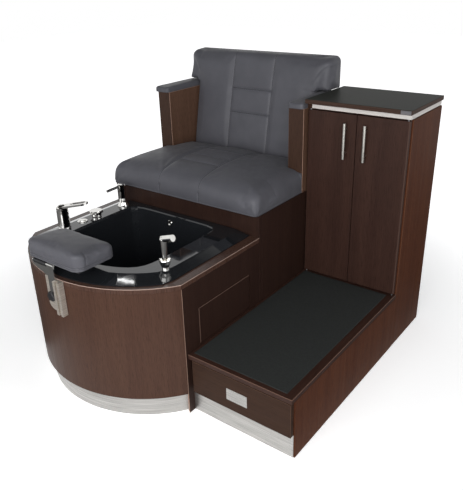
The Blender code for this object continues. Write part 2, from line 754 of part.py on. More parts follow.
def build_tub():
    bm = bmesh.new()
    rings = []
    for outline, height in tub_levels():
        rings.append([bm.verts.new((x, y, height)) for x, y in outline])
    loft(bm, rings)
    tub = add_object("tub", mesh_of("tub", bm), ACRYLIC)
    if tub.data.polygons[0].normal.z < 0:
        tub.data.flip_normals()
    shell = tub.modifiers.new("wall", "SOLIDIFY")
    shell.thickness = TUB_WALL
    shell.offset = -1
    shell.use_even_offset = True
    for number, (place, radius) in enumerate(deck_shanks()):
        low = (place[0], place[1], DECK_TOP - BOARD)
        high = (place[0], place[1], PLATEAU_Z + BOARD)
        reach = radius + SHANK_CLEARANCE
        drill = rod(f"deck_drill_{number}", low, high, reach, None, 16, collection=CUTTERS)
        combine(tub, drill, "DIFFERENCE")
    for name, (place, turn), radius in (
        ("overflow_drill", overflow_pose(), OVERFLOW_RADIUS * 0.62 + WALL_HOLE_CLEARANCE),
        ("jet_drill", jet_pose(), JET_NECK_RADIUS + WALL_HOLE_CLEARANCE),
    ):
        drill = rod(name, (0, 0, -0.03), (0, 0, 0.03), radius, None, 24, (0, 0, 0), CUTTERS)
        drill.location = place
        drill.rotation_euler = turn
        combine(tub, drill, "DIFFERENCE")
    smooth(tub, radians(40))


def build_tub_fittings():
    place, turn = overflow_pose()
    neck = OVERFLOW_RADIUS * 0.62
    turned(
        "overflow_ring",
        (
            (OVERFLOW_BORE_RADIUS, 0.0020),
            (OVERFLOW_RADIUS * 0.8, 0.0038),
            (OVERFLOW_RADIUS, 0.0018),
            (OVERFLOW_RADIUS, JOINT_GAP),
            (neck, JOINT_GAP),
            (neck, -OVERFLOW_NECK_LENGTH),
            (OVERFLOW_BORE_RADIUS, -OVERFLOW_NECK_LENGTH),
        ),
        CHROME,
        place,
        24,
        turn,
    )
    place, turn = jet_pose()
    face = JET_FACE_STANDOFF + JET_FACE_THICKNESS
    turned(
        "jet_pump",
        (
            (0, face + 0.004),
            (JET_FACE_RADIUS * 0.45, face + 0.003),
            (JET_FACE_RADIUS * 0.85, face),
            (JET_FACE_RADIUS, face - 0.004),
            (JET_FACE_RADIUS, JET_FACE_STANDOFF),
            (JET_NECK_RADIUS, JET_FACE_STANDOFF),
            (JET_NECK_RADIUS, -PUMP_NECK_LENGTH),
            (PUMP_RADIUS, -PUMP_NECK_LENGTH),
            (PUMP_RADIUS, -PUMP_NECK_LENGTH - PUMP_LENGTH * 0.92),
            (PUMP_RADIUS * 0.85, -PUMP_NECK_LENGTH - PUMP_LENGTH),
            (0, -PUMP_NECK_LENGTH - PUMP_LENGTH),
        ),
        PLASTIC,
        place,
        28,
        turn,
    )


def build_drain():
    floor = (TUB_CENTRE[0], TUB_CENTRE[1], TUB_FLOOR_TOP)
    neck = DRAIN_HOLE_RADIUS - DRAIN_NECK_CLEARANCE
    seat = DRAIN_FLANGE_THICKNESS + 0.0012
    turned(
        "drain_waste",
        (
            (STOPPER_RADIUS + 0.001, seat),
            (DRAIN_FLANGE_RADIUS - 0.003, seat),
            (DRAIN_FLANGE_RADIUS, 0.0013),
            (neck, 0.0013),
            (neck, -0.045),
            (DRAIN_BORE_RADIUS + 0.003, -0.050),
            (DRAIN_BORE_RADIUS + 0.003, DRAIN_TAIL_BOTTOM - TUB_FLOOR_TOP),
            (DRAIN_BORE_RADIUS, DRAIN_TAIL_BOTTOM - TUB_FLOOR_TOP),
            (DRAIN_BORE_RADIUS, -0.006),
        ),
        CHROME,
        floor,
        28,
    )
    turned(
        "drain_stopper",
        (
            (0, STOPPER_THICKNESS + 0.003),
            (STOPPER_RADIUS * 0.7, STOPPER_THICKNESS + 0.0015),
            (STOPPER_RADIUS, 0.0035),
            (STOPPER_RADIUS - 0.0025, 0.0006),
            (STOPPER_STEM_RADIUS, -0.004),
            (STOPPER_STEM_RADIUS, -STOPPER_STEM_LENGTH),
            (0, -STOPPER_STEM_LENGTH),
        ),
        CHROME,
        floor,
        28,
    )


# ---------------------------------------------------------------- deck fittings
def on_plateau(place, height=JOINT_GAP):
    return (place[0], place[1], PLATEAU_Z + height)


def build_mixer():
    turned(
        "mixer_body",
        (
            (0, MIXER_BODY_HEIGHT),
            (MIXER_BODY_RADIUS, MIXER_BODY_HEIGHT),
            (MIXER_BODY_RADIUS + 0.001, 0.010),
            (MIXER_BASE_RADIUS, 0.006),
            (MIXER_BASE_RADIUS, 0),
            (MIXER_SHANK_RADIUS, 0),
            (MIXER_SHANK_RADIUS, -SHANK_LENGTH),
            (0, -SHANK_LENGTH),
        ),
        CHROME,
        on_plateau(MIXER_PLACE),
    )
    cap_bottom = MIXER_BODY_HEIGHT + 2 * JOINT_GAP
    turned(
        "mixer_cap",
        (
            (0, MIXER_CAP_HEIGHT),
            (MIXER_BODY_RADIUS - 0.001, MIXER_CAP_HEIGHT),
            (MIXER_BODY_RADIUS, MIXER_CAP_HEIGHT - 0.001),
            (MIXER_BODY_RADIUS, 0),
            (0, 0),
        ),
        CHROME,
        on_plateau(MIXER_PLACE, cap_bottom),
    )
    build_mixer_lever(cap_bottom + MIXER_CAP_HEIGHT + JOINT_GAP)


def lever_outline():
    """A bar that widens from the dome to a round end."""
    half = MIXER_LEVER_WIDTH / 2
    end = MIXER_LEVER_REACH - half
    tip = arc((end, 0), half, 0, pi, 12)
    return [(-0.004, half * 0.9)] + [(-0.004, -half * 0.9)] + tip


def lever_slot():
    half = MIXER_SLOT_WIDTH / 2
    end = MIXER_LEVER_REACH - MIXER_LEVER_WIDTH / 2
    near = arc((MIXER_SLOT_START + half, 0), half, pi, 2 * pi, 8)
    return arc((end, 0), half, 0, pi, 8) + near


def build_mixer_lever(height):
    radius = MIXER_BODY_RADIUS
    dome = [(0, MIXER_DOME_HEIGHT)]
    for share in (0.35, 0.65, 0.88, 1.0):
        dome.append((radius * share, MIXER_DOME_HEIGHT * sqrt(1 - (share * 0.94) ** 2)))
    dome += [(radius, 0), (0, 0)]
    lever = turned("mixer_lever", dome, CHROME, on_plateau(MIXER_PLACE, height))
    low = MIXER_DOME_HEIGHT * 0.25
    bar = plate(
        "mixer_lever_bar", lever_outline(), low, low + MIXER_LEVER_THICKNESS, None, holes=[lever_slot()]
    )
    bar.location = lever.location
    bar.rotation_euler = (0, -MIXER_LEVER_RISE, MIXER_LEVER_TURN)
    combine(lever, bar, "UNION")


def build_valve():
    turned(
        "valve_body",
        (
            (0, VALVE_HEIGHT),
            (VALVE_WAIST_RADIUS + 0.002, VALVE_HEIGHT),
            (VALVE_WAIST_RADIUS, VALVE_HEIGHT * 0.80),
            (VALVE_WAIST_RADIUS - 0.0005, VALVE_HEIGHT * 0.45),
            (VALVE_WAIST_RADIUS + 0.002, VALVE_HEIGHT * 0.25),
            (VALVE_BASE_RADIUS - 0.003, 0.010),
            (VALVE_BASE_RADIUS, 0.005),
            (VALVE_BASE_RADIUS, 0),
            (VALVE_SHANK_RADIUS, 0),
            (VALVE_SHANK_RADIUS, -SHANK_LENGTH),
            (0, -SHANK_LENGTH),
        ),
        CHROME,
        on_plateau(VALVE_PLACE),
        28,
    )
    lever = turned(
        "valve_lever",
        (
            (0, VALVE_CAP_HEIGHT),
            (VALVE_CAP_RADIUS - 0.003, VALVE_CAP_HEIGHT - 0.0005),
            (VALVE_CAP_RADIUS, VALVE_CAP_HEIGHT - 0.004),
            (VALVE_CAP_RADIUS - 0.001, 0.002),
            (VALVE_WAIST_RADIUS + 0.002, 0),
            (0, 0),
        ),
        CHROME,
        on_plateau(VALVE_PLACE, VALVE_HEIGHT + 2 * JOINT_GAP),
        28,
    )
    pin = rod(
        "valve_pin",
        (0, -VALVE_CAP_RADIUS * 0.5, VALVE_CAP_HEIGHT * 0.5),
        (0, -VALVE_PIN_REACH, VALVE_CAP_HEIGHT * 0.5 - 0.002),
        VALVE_PIN_RADIUS,
        None,
        12,
        (0, 0, 0),
        CUTTERS,
    )
    pin.location = lever.location
    combine(lever, pin, "UNION")


def build_air_button():
    turned(
        "air_button_bezel",
        (
            (BUTTON_RADIUS + BUTTON_CLEARANCE, BEZEL_THICKNESS),
            (BEZEL_RADIUS - 0.0015, BEZEL_THICKNESS),
            (BEZEL_RADIUS, BEZEL_THICKNESS - 0.0015),
            (BEZEL_RADIUS, 0),
            (BEZEL_SHANK_RADIUS, 0),
            (BEZEL_SHANK_RADIUS, -BUTTON_DEPTH * 2),
            (BUTTON_RADIUS + BUTTON_CLEARANCE, -BUTTON_DEPTH * 2),
        ),
        CHROME,
        on_plateau(BUTTON_PLACE),
        28,
    )
    turned(
        "air_button",
        (
            (0, BUTTON_PROUD),
            (BUTTON_RADIUS - 0.002, BUTTON_PROUD - 0.0003),
            (BUTTON_RADIUS, BUTTON_PROUD - 0.0015),
            (BUTTON_RADIUS, -BUTTON_DEPTH),
            (0, -BUTTON_DEPTH),
        ),
        CHROME,
        on_plateau(BUTTON_PLACE),
        28,
    )


def build_popup_knob():
    knob = lobed(
        "popup_knob",
        (
            (KNOB_SKIRT_RADIUS - 0.003, 0.0, 0),
            (KNOB_SKIRT_RADIUS, 0.003, 0.003),
            (KNOB_SKIRT_RADIUS, KNOB_HEIGHT * 0.45, 0.003),
            (KNOB_RADIUS, KNOB_HEIGHT * 0.60, 0.003),
            (KNOB_RADIUS, KNOB_HEIGHT - 0.004, 0.002),
            (KNOB_RADIUS - 0.004, KNOB_HEIGHT, 0.0),
        ),
        KNOB_LOBES,
        CHROME,
        on_plateau(KNOB_PLACE),
    )
    spindle = rod(
        "popup_spindle",
        (0, 0, -SHANK_LENGTH),
        (0, 0, KNOB_HEIGHT * 0.3),
        KNOB_SPINDLE_RADIUS,
        None,
        16,
        (0, 0, 0),
        CUTTERS,
    )
    spindle.location = knob.location
    combine(knob, spindle, "UNION")


def build_sprayer():
    place = on_plateau(SPRAYER_PLACE)
    turned(
        "sprayer_collar",
        (
            (SPRAYER_CUP_RADIUS - 0.004, SPRAYER_CUP_HEIGHT - 0.002),
            (SPRAYER_CUP_RADIUS - 0.001, SPRAYER_CUP_HEIGHT),
            (SPRAYER_CUP_RADIUS, SPRAYER_CUP_HEIGHT - 0.002),
            (SPRAYER_CUP_RADIUS - 0.003, SPRAYER_CUP_HEIGHT * 0.60),
            (SPRAYER_SHANK_RADIUS, SPRAYER_CUP_HEIGHT * 0.28),
            (SPRAYER_SHANK_RADIUS + 0.001, 0.0),
            (SPRAYER_SHANK_RADIUS, 0.0),
            (SPRAYER_SHANK_RADIUS, -SHANK_LENGTH),
            (SPRAYER_BORE_RADIUS, -SHANK_LENGTH),
            (SPRAYER_BORE_RADIUS, SPRAYER_CUP_HEIGHT * 0.35),
        ),
        CHROME,
        place,
        28,
    )
    handle_bottom = SPRAYER_CUP_HEIGHT * 0.40
    head = turned(
        "sprayer_head",
        (
            (0, SPRAYER_HEAD_HEIGHT + 0.006),
            (SPRAYER_HANDLE_TOP_RADIUS * 0.75, SPRAYER_HEAD_HEIGHT + 0.003),
            (SPRAYER_HANDLE_TOP_RADIUS, SPRAYER_HEAD_HEIGHT - 0.006),
            (SPRAYER_HANDLE_TOP_RADIUS * 0.95, SPRAYER_HEAD_HEIGHT - 0.030),
            (SPRAYER_HANDLE_LOW_RADIUS, handle_bottom + 0.010),
            (SPRAYER_HANDLE_LOW_RADIUS - 0.001, handle_bottom),
            (SPRAYER_HOSE_RADIUS, handle_bottom - 0.004),
            (SPRAYER_HOSE_RADIUS, -SPRAYER_HOSE_DROP),
            (0, -SPRAYER_HOSE_DROP),
        ),
        CHROME,
        place,
        24,
    )
    way = Vector((cos(SPRAYER_HEAD_RISE), 0, sin(SPRAYER_HEAD_RISE)))
    middle = Vector((0, 0, SPRAYER_HEAD_HEIGHT - 0.006))
    nozzle = rod(
        "sprayer_nozzle",
        middle - way * 0.002,
        middle + way * SPRAYER_HEAD_REACH,
        SPRAYER_HEAD_RADIUS,
        None,
        24,
        (0, 0, 0),
        CUTTERS,
    )
    nozzle.location = head.location
    combine(head, nozzle, "UNION")


# ---------------------------------------------------------------- chair
def build_base():
    side_back = CHAIR_DEPTH - BOARD - JOINT_GAP
    soften(box("base_front_panel", (0, 0, 0), (CHAIR_WIDTH, BOARD, BASE_TOP), WENGE))
    for name, low_x in (("base_side_left", 0), ("base_side_right", CHAIR_WIDTH - BOARD)):
        low = (low_x, BOARD + JOINT_GAP, 0)
        soften(box(name, low, (low_x + BOARD, side_back, BASE_TOP), WENGE))
    low = (0, CHAIR_DEPTH - BOARD, 0)
    soften(box("chair_back_panel", low, (CHAIR_WIDTH, CHAIR_DEPTH, BACK_PANEL_TOP), WENGE))
    inset = BOARD + JOINT_GAP
    box("seat_board", (inset, inset, BASE_TOP - BOARD), (CHAIR_WIDTH - inset, side_back, BASE_TOP), WENGE)


def build_arms():
    back = CHAIR_DEPTH - BOARD - JOINT_GAP
    pad_bottom = ARM_TOP + JOINT_GAP
    for side, low_x, overhang in (
        ("left", 0, ARM_PAD_OVERHANG),
        ("right", CHAIR_WIDTH - ARM_WIDTH, 0),
    ):
        low = (low_x, ARM_FRONT_Y, CUSHION_REST_Z)
        soften(box("arm_" + side, low, (low_x + ARM_WIDTH, back, ARM_TOP), WENGE))
        pad = box(
            "arm_pad_" + side,
            (low_x - overhang, ARM_FRONT_Y - ARM_PAD_OVERHANG, pad_bottom),
            (low_x + ARM_WIDTH, ARM_PAD_BACK_Y, pad_bottom + ARM_PAD_THICKNESS),
            VINYL,
        )
        soften(pad, ARM_PAD_ROUND, 3)
        smooth(pad)


def steps_between(start, end, most):
    """Evenly spaced values from start to just before end."""
    count = max(1, ceil((end - start) / most - 1e-6))
    return [start + (end - start) * index / count for index in range(count)]


def graded(stops, most):
    """Grid lines through the stops, with more between them where they are far apart."""
    lines = []
    for first, second in zip(stops, stops[1:]):
        lines += steps_between(first, second, most)
    return lines + [stops[-1]]


def seam_lines(place):
    return [place - SEAM_HALF_WIDTH, place, place + SEAM_HALF_WIDTH]


def groove(distance):
    """How far a sewn seam pulls the cover down, at a distance from its line."""
    share = min(1.0, abs(distance) / SEAM_HALF_WIDTH)
    return SEAM_DEPTH * (1 - share) ** 2


def quilted(name, lines_u, lines_v, inside, height, material, pull=None, foot=None):
    """A cushion on a flat base: a grid of cells inside a plan, lifted to height(u, v).

    inside(u, v) says whether a cell's middle is in the plan. pull(u, v) rounds the plan's corners,
    and foot(u, v, height) places the base under a point of the cushion's rim.
    """
    bm = bmesh.new()
    tops = {}

    def vertex(column, row):
        if (column, row) not in tops:
            u, v = lines_u[column], lines_v[row]
            place = pull(u, v) if pull else (u, v)
            tops[column, row] = bm.verts.new((place[0], place[1], height(u, v)))
        return tops[column, row]

    for column, (u, next_u) in enumerate(zip(lines_u, lines_u[1:])):
        for row, (v, next_v) in enumerate(zip(lines_v, lines_v[1:])):
            if inside((u + next_u) / 2, (v + next_v) / 2):
                corners = ((column, row), (column + 1, row), (column + 1, row + 1), (column, row + 1))
                bm.faces.new([vertex(*corner) for corner in corners])
    rim = [edge for edge in bm.edges if len(edge.link_faces) == 1]
    made = bmesh.ops.extrude_edge_only(bm, edges=rim)["geom"]
    for low in (item for item in made if isinstance(item, bmesh.types.BMVert)):
        place = foot(*low.co) if foot else low.co
        low.co = (place[0], place[1], 0)
    floor_edges = [edge for edge in bm.edges if len(edge.link_faces) == 1]
    bmesh.ops.contextual_create(bm, geom=floor_edges)
    bmesh.ops.triangulate(bm, faces=[face for face in bm.faces if len(face.verts) > 4])
    return smooth(add_object(name, mesh_of(name, bm), material), radians(60))


def edge_fall(distance, radius):
    """How far a rounded edge has fallen at a distance from the side, up to a quarter circle."""
    if distance >= radius:
        return 0.0
    return radius - sqrt(max(0.0, radius**2 - (radius - distance) ** 2))


def crown(u, v, half_u, half_v, rise):
    """A low dome over a plan, from its middle to its sides."""
    return rise * (1 - min(1.0, abs(u / half_u)) ** 2.4) * (1 - min(1.0, abs(v / half_v)) ** 2.4)


def build_seat_cushion():
    inner_left = ARM_WIDTH + CUSHION_CLEARANCE
    inner_right = CHAIR_WIDTH - inner_left
    front = -SEAT_FRONT_OVERHANG
    shoulder = ARM_FRONT_Y - CUSHION_CLEARANCE
    bend = SEAT_EDGE_ROUND
    stops_u = [0, bend * 0.06, bend * 0.3, bend * 0.75, inner_left]
    stops_u += seam_lines(MIDDLE_X - SEAM_OFFSET)
    stops_u += [MIDDLE_X]
    stops_u += [CHAIR_WIDTH - stop for stop in reversed(stops_u[:-1])]
    stops_v = [front, front + bend * 0.06, front + bend * 0.3, front + bend * 0.75, front + bend * 1.6]
    for channel in SEAT_CHANNELS:
        stops_v += seam_lines(channel)
    stops_v = sorted(stops_v + [shoulder, SEAT_BACK_Y])

    def inside(u, v):
        return v < shoulder or inner_left < u < inner_right

    def height(u, v):
        side = min(u, CHAIR_WIDTH - u)
        if v >= shoulder - 1e-6:
            side = max(side, bend) if inner_left + 1e-6 < u < inner_right - 1e-6 else bend * 0.5
        top = SEAT_SIDE_HEIGHT + crown(
            u - MIDDLE_X, v - (front + SEAT_BACK_Y) / 2, MIDDLE_X, (SEAT_BACK_Y - front) / 2, SEAT_CROWN
        )
        top -= edge_fall(side, bend) + edge_fall(v - front, bend)
        seam = groove(min(abs(abs(u - MIDDLE_X) - SEAM_OFFSET), SEAM_HALF_WIDTH))
        channel = 0.0
        if abs(u - MIDDLE_X) < SEAM_OFFSET:
            channel = max(groove(v - place) for place in SEAT_CHANNELS)
        if v - front > bend * 0.5:
            top -= max(seam, channel)
        return max(top, SEAT_SIDE_HEIGHT * 0.25)

    def foot(u, v, top):
        """The rear wall leans forward, along the back cushion."""
        return u, v - (top * BACK_FRONT_SLOPE if v > SEAT_BACK_Y - 1e-6 else 0)

    lines = graded(stops_u, 0.060), graded(stops_v, 0.060)
    cushion = quilted("seat_cushion", *lines, inside, height, VINYL, foot=foot)
    cushion.location = (0, 0, CUSHION_REST_Z)


def build_back_cushion():
    """The back cushion is drawn from behind: u across, v up, and its depth out of a flat back."""
    inner_left = ARM_WIDTH + CUSHION_CLEARANCE
    inner_right = CHAIR_WIDTH - inner_left
    wing_left = BACK_WING_INSET
    wing_right = CHAIR_WIDTH - BACK_WING_INSET
    shoulder = BACK_WING_BOTTOM_Z
    bend = BACK_EDGE_ROUND
    stops_u = [wing_left, wing_left + bend * 0.06, wing_left + bend * 0.35, wing_left + bend * 0.9]
    stops_u += [inner_left, inner_left + bend * 0.35, inner_left + bend * 0.9]
    stops_u += seam_lines(MIDDLE_X - SEAM_OFFSET)
    stops_u += [MIDDLE_X]
    stops_u += [CHAIR_WIDTH - stop for stop in reversed(stops_u[:-1])]
    stops_v = [CUSHION_REST_Z, shoulder, shoulder + bend * 0.06, shoulder + bend * 0.5]
    for channel in BACK_CHANNELS:
        stops_v += seam_lines(channel)
    stops_v += [BACK_TOP_Z - bend * share for share in (0.9, 0.35, 0.06, 0)]
    stops_v = sorted(stops_v)
    middle_v = (CUSHION_REST_Z + BACK_TOP_Z) / 2
    half_v = (BACK_TOP_Z - CUSHION_REST_Z) / 2

    def inside(u, v):
        return v > shoulder or inner_left < u < inner_right

    def height(u, v):
        if v > shoulder - 1e-6:
            side = min(u - wing_left, wing_right - u)
            if not inner_left - 1e-6 < u < inner_right + 1e-6:
                side = min(side, v - shoulder)
        else:
            side = min(u - inner_left, inner_right - u)
        depth = BACK_PLANE_Y - BACK_FRONT_Y - (v - CUSHION_REST_Z) * BACK_FRONT_SLOPE
        depth += crown(u - MIDDLE_X, v - middle_v, MIDDLE_X, half_v * 1.15, BACK_CROWN)
        depth -= edge_fall(max(side, 0.0), bend) + edge_fall(BACK_TOP_Z - v, bend)
        seam = groove(min(abs(abs(u - MIDDLE_X) - SEAM_OFFSET), SEAM_HALF_WIDTH))
        channel = 0.0
        if abs(u - MIDDLE_X) < SEAM_OFFSET:
            channel = max(groove(v - place) for place in BACK_CHANNELS)
        if BACK_TOP_Z - v > bend:
            depth -= max(seam, channel)
        return depth

    def pull(u, v):
        """Rounds the wings' upper and lower outer corners."""
        corner = BACK_WING_CORNER
        across = max(0.0, abs(u - MIDDLE_X) - (MIDDLE_X - BACK_WING_INSET - corner)) / corner
        up = max(0.0, v - (BACK_TOP_Z - corner), shoulder + corner - v) / corner
        if across == 0 or up == 0 or v < shoulder - 1e-6:
            return u, v
        side = 1 if u > MIDDLE_X else -1
        rise = 1 if v > BACK_TOP_Z - corner else -1
        u += side * corner * across * (sqrt(1 - up**2 / 2) - 1)
        return u, v + rise * corner * up * (sqrt(1 - across**2 / 2) - 1)

    lines = graded(stops_u, 0.060), graded(stops_v, 0.060)
    cushion = quilted("back_cushion", *lines, inside, height, VINYL, pull)
    cushion.rotation_euler = (pi / 2, 0, 0)
    cushion.location = (0, BACK_PLANE_Y, 0)


# ---------------------------------------------------------------- cabinet
def door_outline(pivot_x, meeting_x):
    """A door's plan, its heel rounded about the pivot so that it clears the boards beside it."""
    heel = DOOR_THICKNESS / 2
    way = 1 if meeting_x > pivot_x else -1
    bend = DOOR_HEEL_ROUND
    inner = heel - bend
    points = [(meeting_x, CABINET_FRONT_Y), (meeting_x, CABINET_FRONT_Y + DOOR_THICKNESS)]
    for centre_y, start in ((PIVOT_Y + inner, 90), (PIVOT_Y - inner, 180)):
        for step in range(5):
            angle = radians(start + 90 * step / 4)
            x = pivot_x - way * inner + way * bend * cos(angle)
            points.append((x, centre_y + bend * sin(angle)))
    return points


def build_doors():
    half_gap = DOOR_MEETING_GAP / 2
    for side, pivot_x, meeting_x, handle_x in (
        ("left", PIVOT_LEFT_X, DOOR_MEETING_X - half_gap, DOOR_MEETING_X - HANDLE_OFFSET),
        ("right", PIVOT_RIGHT_X, DOOR_MEETING_X + half_gap, DOOR_MEETING_X + HANDLE_OFFSET),
    ):
        pivot = (pivot_x, PIVOT_Y, DOOR_BOTTOM)
        bore = circle((pivot_x, PIVOT_Y), PIVOT_ROD_RADIUS + PIVOT_ROD_CLEARANCE, 16)
        door = plate(
            "cabinet_door_" + side,
            door_outline(pivot_x, meeting_x),
            DOOR_BOTTOM,
            DOOR_TOP,
            WENGE,
            holes=[bore],
            origin=pivot,
        )
        soften(smooth(door, radians(30)))
        seat = PIVOT_ROD_SEAT
        rod(
            "door_pivot_rod_" + side,
            (pivot_x, PIVOT_Y, STEP_TOP - seat),
            (pivot_x, PIVOT_Y, CABINET_BODY_TOP + JOINT_GAP + seat),
            PIVOT_ROD_RADIUS,
            STEEL,
            16,
        )
        build_handle(side, handle_x, pivot)


def build_handle(side, x, pivot):
    bar_y = CABINET_FRONT_Y - HANDLE_STANDOFF
    half = HANDLE_LENGTH / 2
    low = (x, bar_y, HANDLE_MIDDLE_Z - half)
    high = (x, bar_y, HANDLE_MIDDLE_Z + half)
    handle = rod("door_handle_" + side, low, high, HANDLE_RADIUS, CHROME, 20, pivot)
    for number, way in enumerate((-1, 1)):
        z = HANDLE_MIDDLE_Z + way * HANDLE_POST_SPACING / 2
        post = rod(
            f"handle_post_{side}_{number}",
            (x, bar_y + HANDLE_RADIUS * 0.2, z),
            (x, CABINET_FRONT_Y - JOINT_GAP, z),
            HANDLE_POST_RADIUS,
            None,
            12,
            pivot,
            CUTTERS,
        )
        combine(handle, post, "UNION")
    smooth(handle)


def build_cabinet():
    side_top = CABINET_BODY_TOP
    back = CHAIR_DEPTH
    inner_left = CABINET_LEFT + BOARD + JOINT_GAP
    inner_right = CABINET_RIGHT - BOARD - JOINT_GAP
    inner_back = back - CABINET_BACK_THICKNESS - JOINT_GAP
    for name, low_x in (("left", CABINET_LEFT), ("right", CABINET_RIGHT - BOARD)):
        high = (low_x + BOARD, back, side_top)
        soften(box("cabinet_side_" + name, (low_x, CARCASS_FRONT_Y, 0), high, WENGE))
    box("cabinet_back", (inner_left, inner_back + JOINT_GAP, 0), (inner_right, back, side_top), WENGE)
    low = (inner_left, CARCASS_FRONT_Y, CABINET_FLOOR_TOP - BOARD)
    box("cabinet_floor", low, (inner_right, inner_back, CABINET_FLOOR_TOP), WENGE)
    low = (inner_left, CARCASS_FRONT_Y + SHELF_SETBACK, SHELF_TOP - BOARD)
    box("cabinet_shelf", low, (inner_right, inner_back, SHELF_TOP), WENGE)
    build_doors()
    build_cabinet_top()


def build_cabinet_top():
    low_z = CABINET_BODY_TOP + JOINT_GAP
    high_z = SLAB_BOTTOM - JOINT_GAP
    board_front = CABINET_FRONT_Y + REVEAL_BOARD_SETBACK
    board_right = CABINET_RIGHT - REVEAL_BOARD_SETBACK
    board_back = CHAIR_DEPTH - SLAB_BACK_INSET
    outline = [
        (CABINET_LEFT, board_front),
        (board_right, board_front),
        (board_right, board_back),
        (CABINET_LEFT, board_back),
    ]
    reach = PIVOT_ROD_RADIUS + PIVOT_ROD_CLEARANCE
    seats = [circle((x, PIVOT_Y), reach, 16) for x in (PIVOT_LEFT_X, PIVOT_RIGHT_X)]
    plate("cabinet_top_board", outline, low_z, high_z, WENGE, holes=seats)
    inner = JOINT_GAP
    outer = JOINT_GAP + REVEAL_BAND_THICKNESS
    start = CABINET_LEFT + REVEAL_BAND_START
    band = [
        (start, board_front - outer),
        (board_right + outer, board_front - outer),
        (board_right + outer, board_back),
        (board_right + inner, board_back),
        (board_right + inner, board_front - inner),
        (start, board_front - inner),
    ]
    plate("reveal_band", band, low_z + REVEAL_BAND_LIP, high_z - REVEAL_BAND_LIP * 0.6, ALUMINIUM)
    low = (CABINET_LEFT, CABINET_FRONT_Y - SLAB_FRONT_OVERHANG, SLAB_BOTTOM)
    high = (CABINET_RIGHT + SLAB_SIDE_OVERHANG, CHAIR_DEPTH - SLAB_BACK_INSET, SLAB_TOP)
    soften(box("cabinet_slab", low, high, LAMINATE), 0.002, 2)


# ---------------------------------------------------------------- step and drawer
def build_step():
    outline_low = (CABINET_LEFT, STEP_FRONT_Y, STEP_BOARD_BOTTOM)
    frame = box("step_top_frame", outline_low, (CABINET_RIGHT, STEP_BACK_Y, STEP_TOP), WENGE)
    soften(frame)
    mat_low = (CABINET_LEFT + STEP_MAT_LEFT, STEP_FRONT_Y + STEP_MAT_FRONT, STEP_TOP - STEP_MAT_RECESS)
    mat_high = (CABINET_RIGHT - STEP_MAT_RIGHT, CABINET_FRONT_Y - STEP_MAT_BACK, STEP_TOP + BOARD)
    combine(frame, box("mat_recess", mat_low, mat_high, None, collection=CUTTERS), "DIFFERENCE")
    for number, x in enumerate((PIVOT_LEFT_X, PIVOT_RIGHT_X)):
        low = (x, PIVOT_Y, STEP_TOP - PIVOT_ROD_SEAT - JOINT_GAP)
        socket = rod(
            f"pivot_socket_{number}",
            low,
            (x, PIVOT_Y, STEP_TOP + BOARD),
            PIVOT_ROD_RADIUS + PIVOT_ROD_CLEARANCE,
            None,
            16,
            collection=CUTTERS,
        )
        combine(frame, socket, "DIFFERENCE")
    gap = STEP_MAT_CLEARANCE
    low = (mat_low[0] + gap, mat_low[1] + gap, mat_low[2] + JOINT_GAP)
    high = (mat_high[0] - gap, mat_high[1] - gap, mat_low[2] + JOINT_GAP + STEP_MAT_THICKNESS)
    soften(box("step_mat", low, high, RUBBER))
    build_step_sides()
    build_drawer()


def build_step_sides():
    """Both sides are notched at the foot of their front edge for the kick plate."""
    notch_y = STEP_SIDE_FRONT_Y + STEP_KICK_THICKNESS + JOINT_GAP
    notch_z = STEP_KICK_TOP + JOINT_GAP
    outline = [
        (STEP_SIDE_FRONT_Y, notch_z),
        (notch_y, notch_z),
        (notch_y, 0),
        (STEP_BACK_Y, 0),
        (STEP_BACK_Y, STEP_UNDER_TOP),
        (STEP_SIDE_FRONT_Y, STEP_UNDER_TOP),
    ]
    for name, low_x in (("left", CABINET_LEFT), ("right", CABINET_RIGHT - BOARD)):
        plate("step_side_" + name, outline, low_x, low_x + BOARD, WENGE, along="X")
    low = (CABINET_LEFT, STEP_SIDE_FRONT_Y, 0)
    high = (CABINET_RIGHT - STEP_KICK_END, STEP_SIDE_FRONT_Y + STEP_KICK_THICKNESS, STEP_KICK_TOP)
    box("step_kick_plate", low, high, ALUMINIUM)


def build_drawer():
    front_top = STEP_BOARD_BOTTOM - DRAWER_TOP_GAP
    low = (DRAWER_LEFT, STEP_FRONT_Y, DRAWER_BOTTOM)
    soften(box("drawer_front", low, (DRAWER_RIGHT, STEP_FRONT_Y + BOARD, front_top), WENGE))
    box_front = STEP_FRONT_Y + BOARD + JOINT_GAP
    box_back = box_front + DRAWER_BOX_DEPTH
    runner_room = RUNNER_THICKNESS + 2 * RUNNER_CLEARANCE
    box_left = CABINET_LEFT + BOARD + runner_room
    box_right = CABINET_RIGHT - BOARD - runner_room
    low = (box_left, box_front, DRAWER_BOX_BOTTOM)
    drawer = box("drawer_box", low, (box_right, box_back, DRAWER_BOX_TOP), BIRCH)
    wall = DRAWER_WALL
    inside = box(
        "drawer_inside",
        (box_left + wall, box_front + wall, DRAWER_BOX_BOTTOM + wall),
        (box_right - wall, box_back - wall, DRAWER_BOX_TOP + wall),
        None,
        collection=CUTTERS,
    )
    combine(drawer, inside, "DIFFERENCE")
    runner_front = box_front + 2 * RUNNER_CLEARANCE
    for side, low_x in (
        ("left", CABINET_LEFT + BOARD + RUNNER_CLEARANCE),
        ("right", box_right + RUNNER_CLEARANCE),
    ):
        low = (low_x, runner_front, RUNNER_BOTTOM)
        high = (low_x + RUNNER_THICKNESS, runner_front + RUNNER_LENGTH, RUNNER_BOTTOM + RUNNER_HEIGHT)
        box("drawer_runner_" + side, low, high, STEEL)


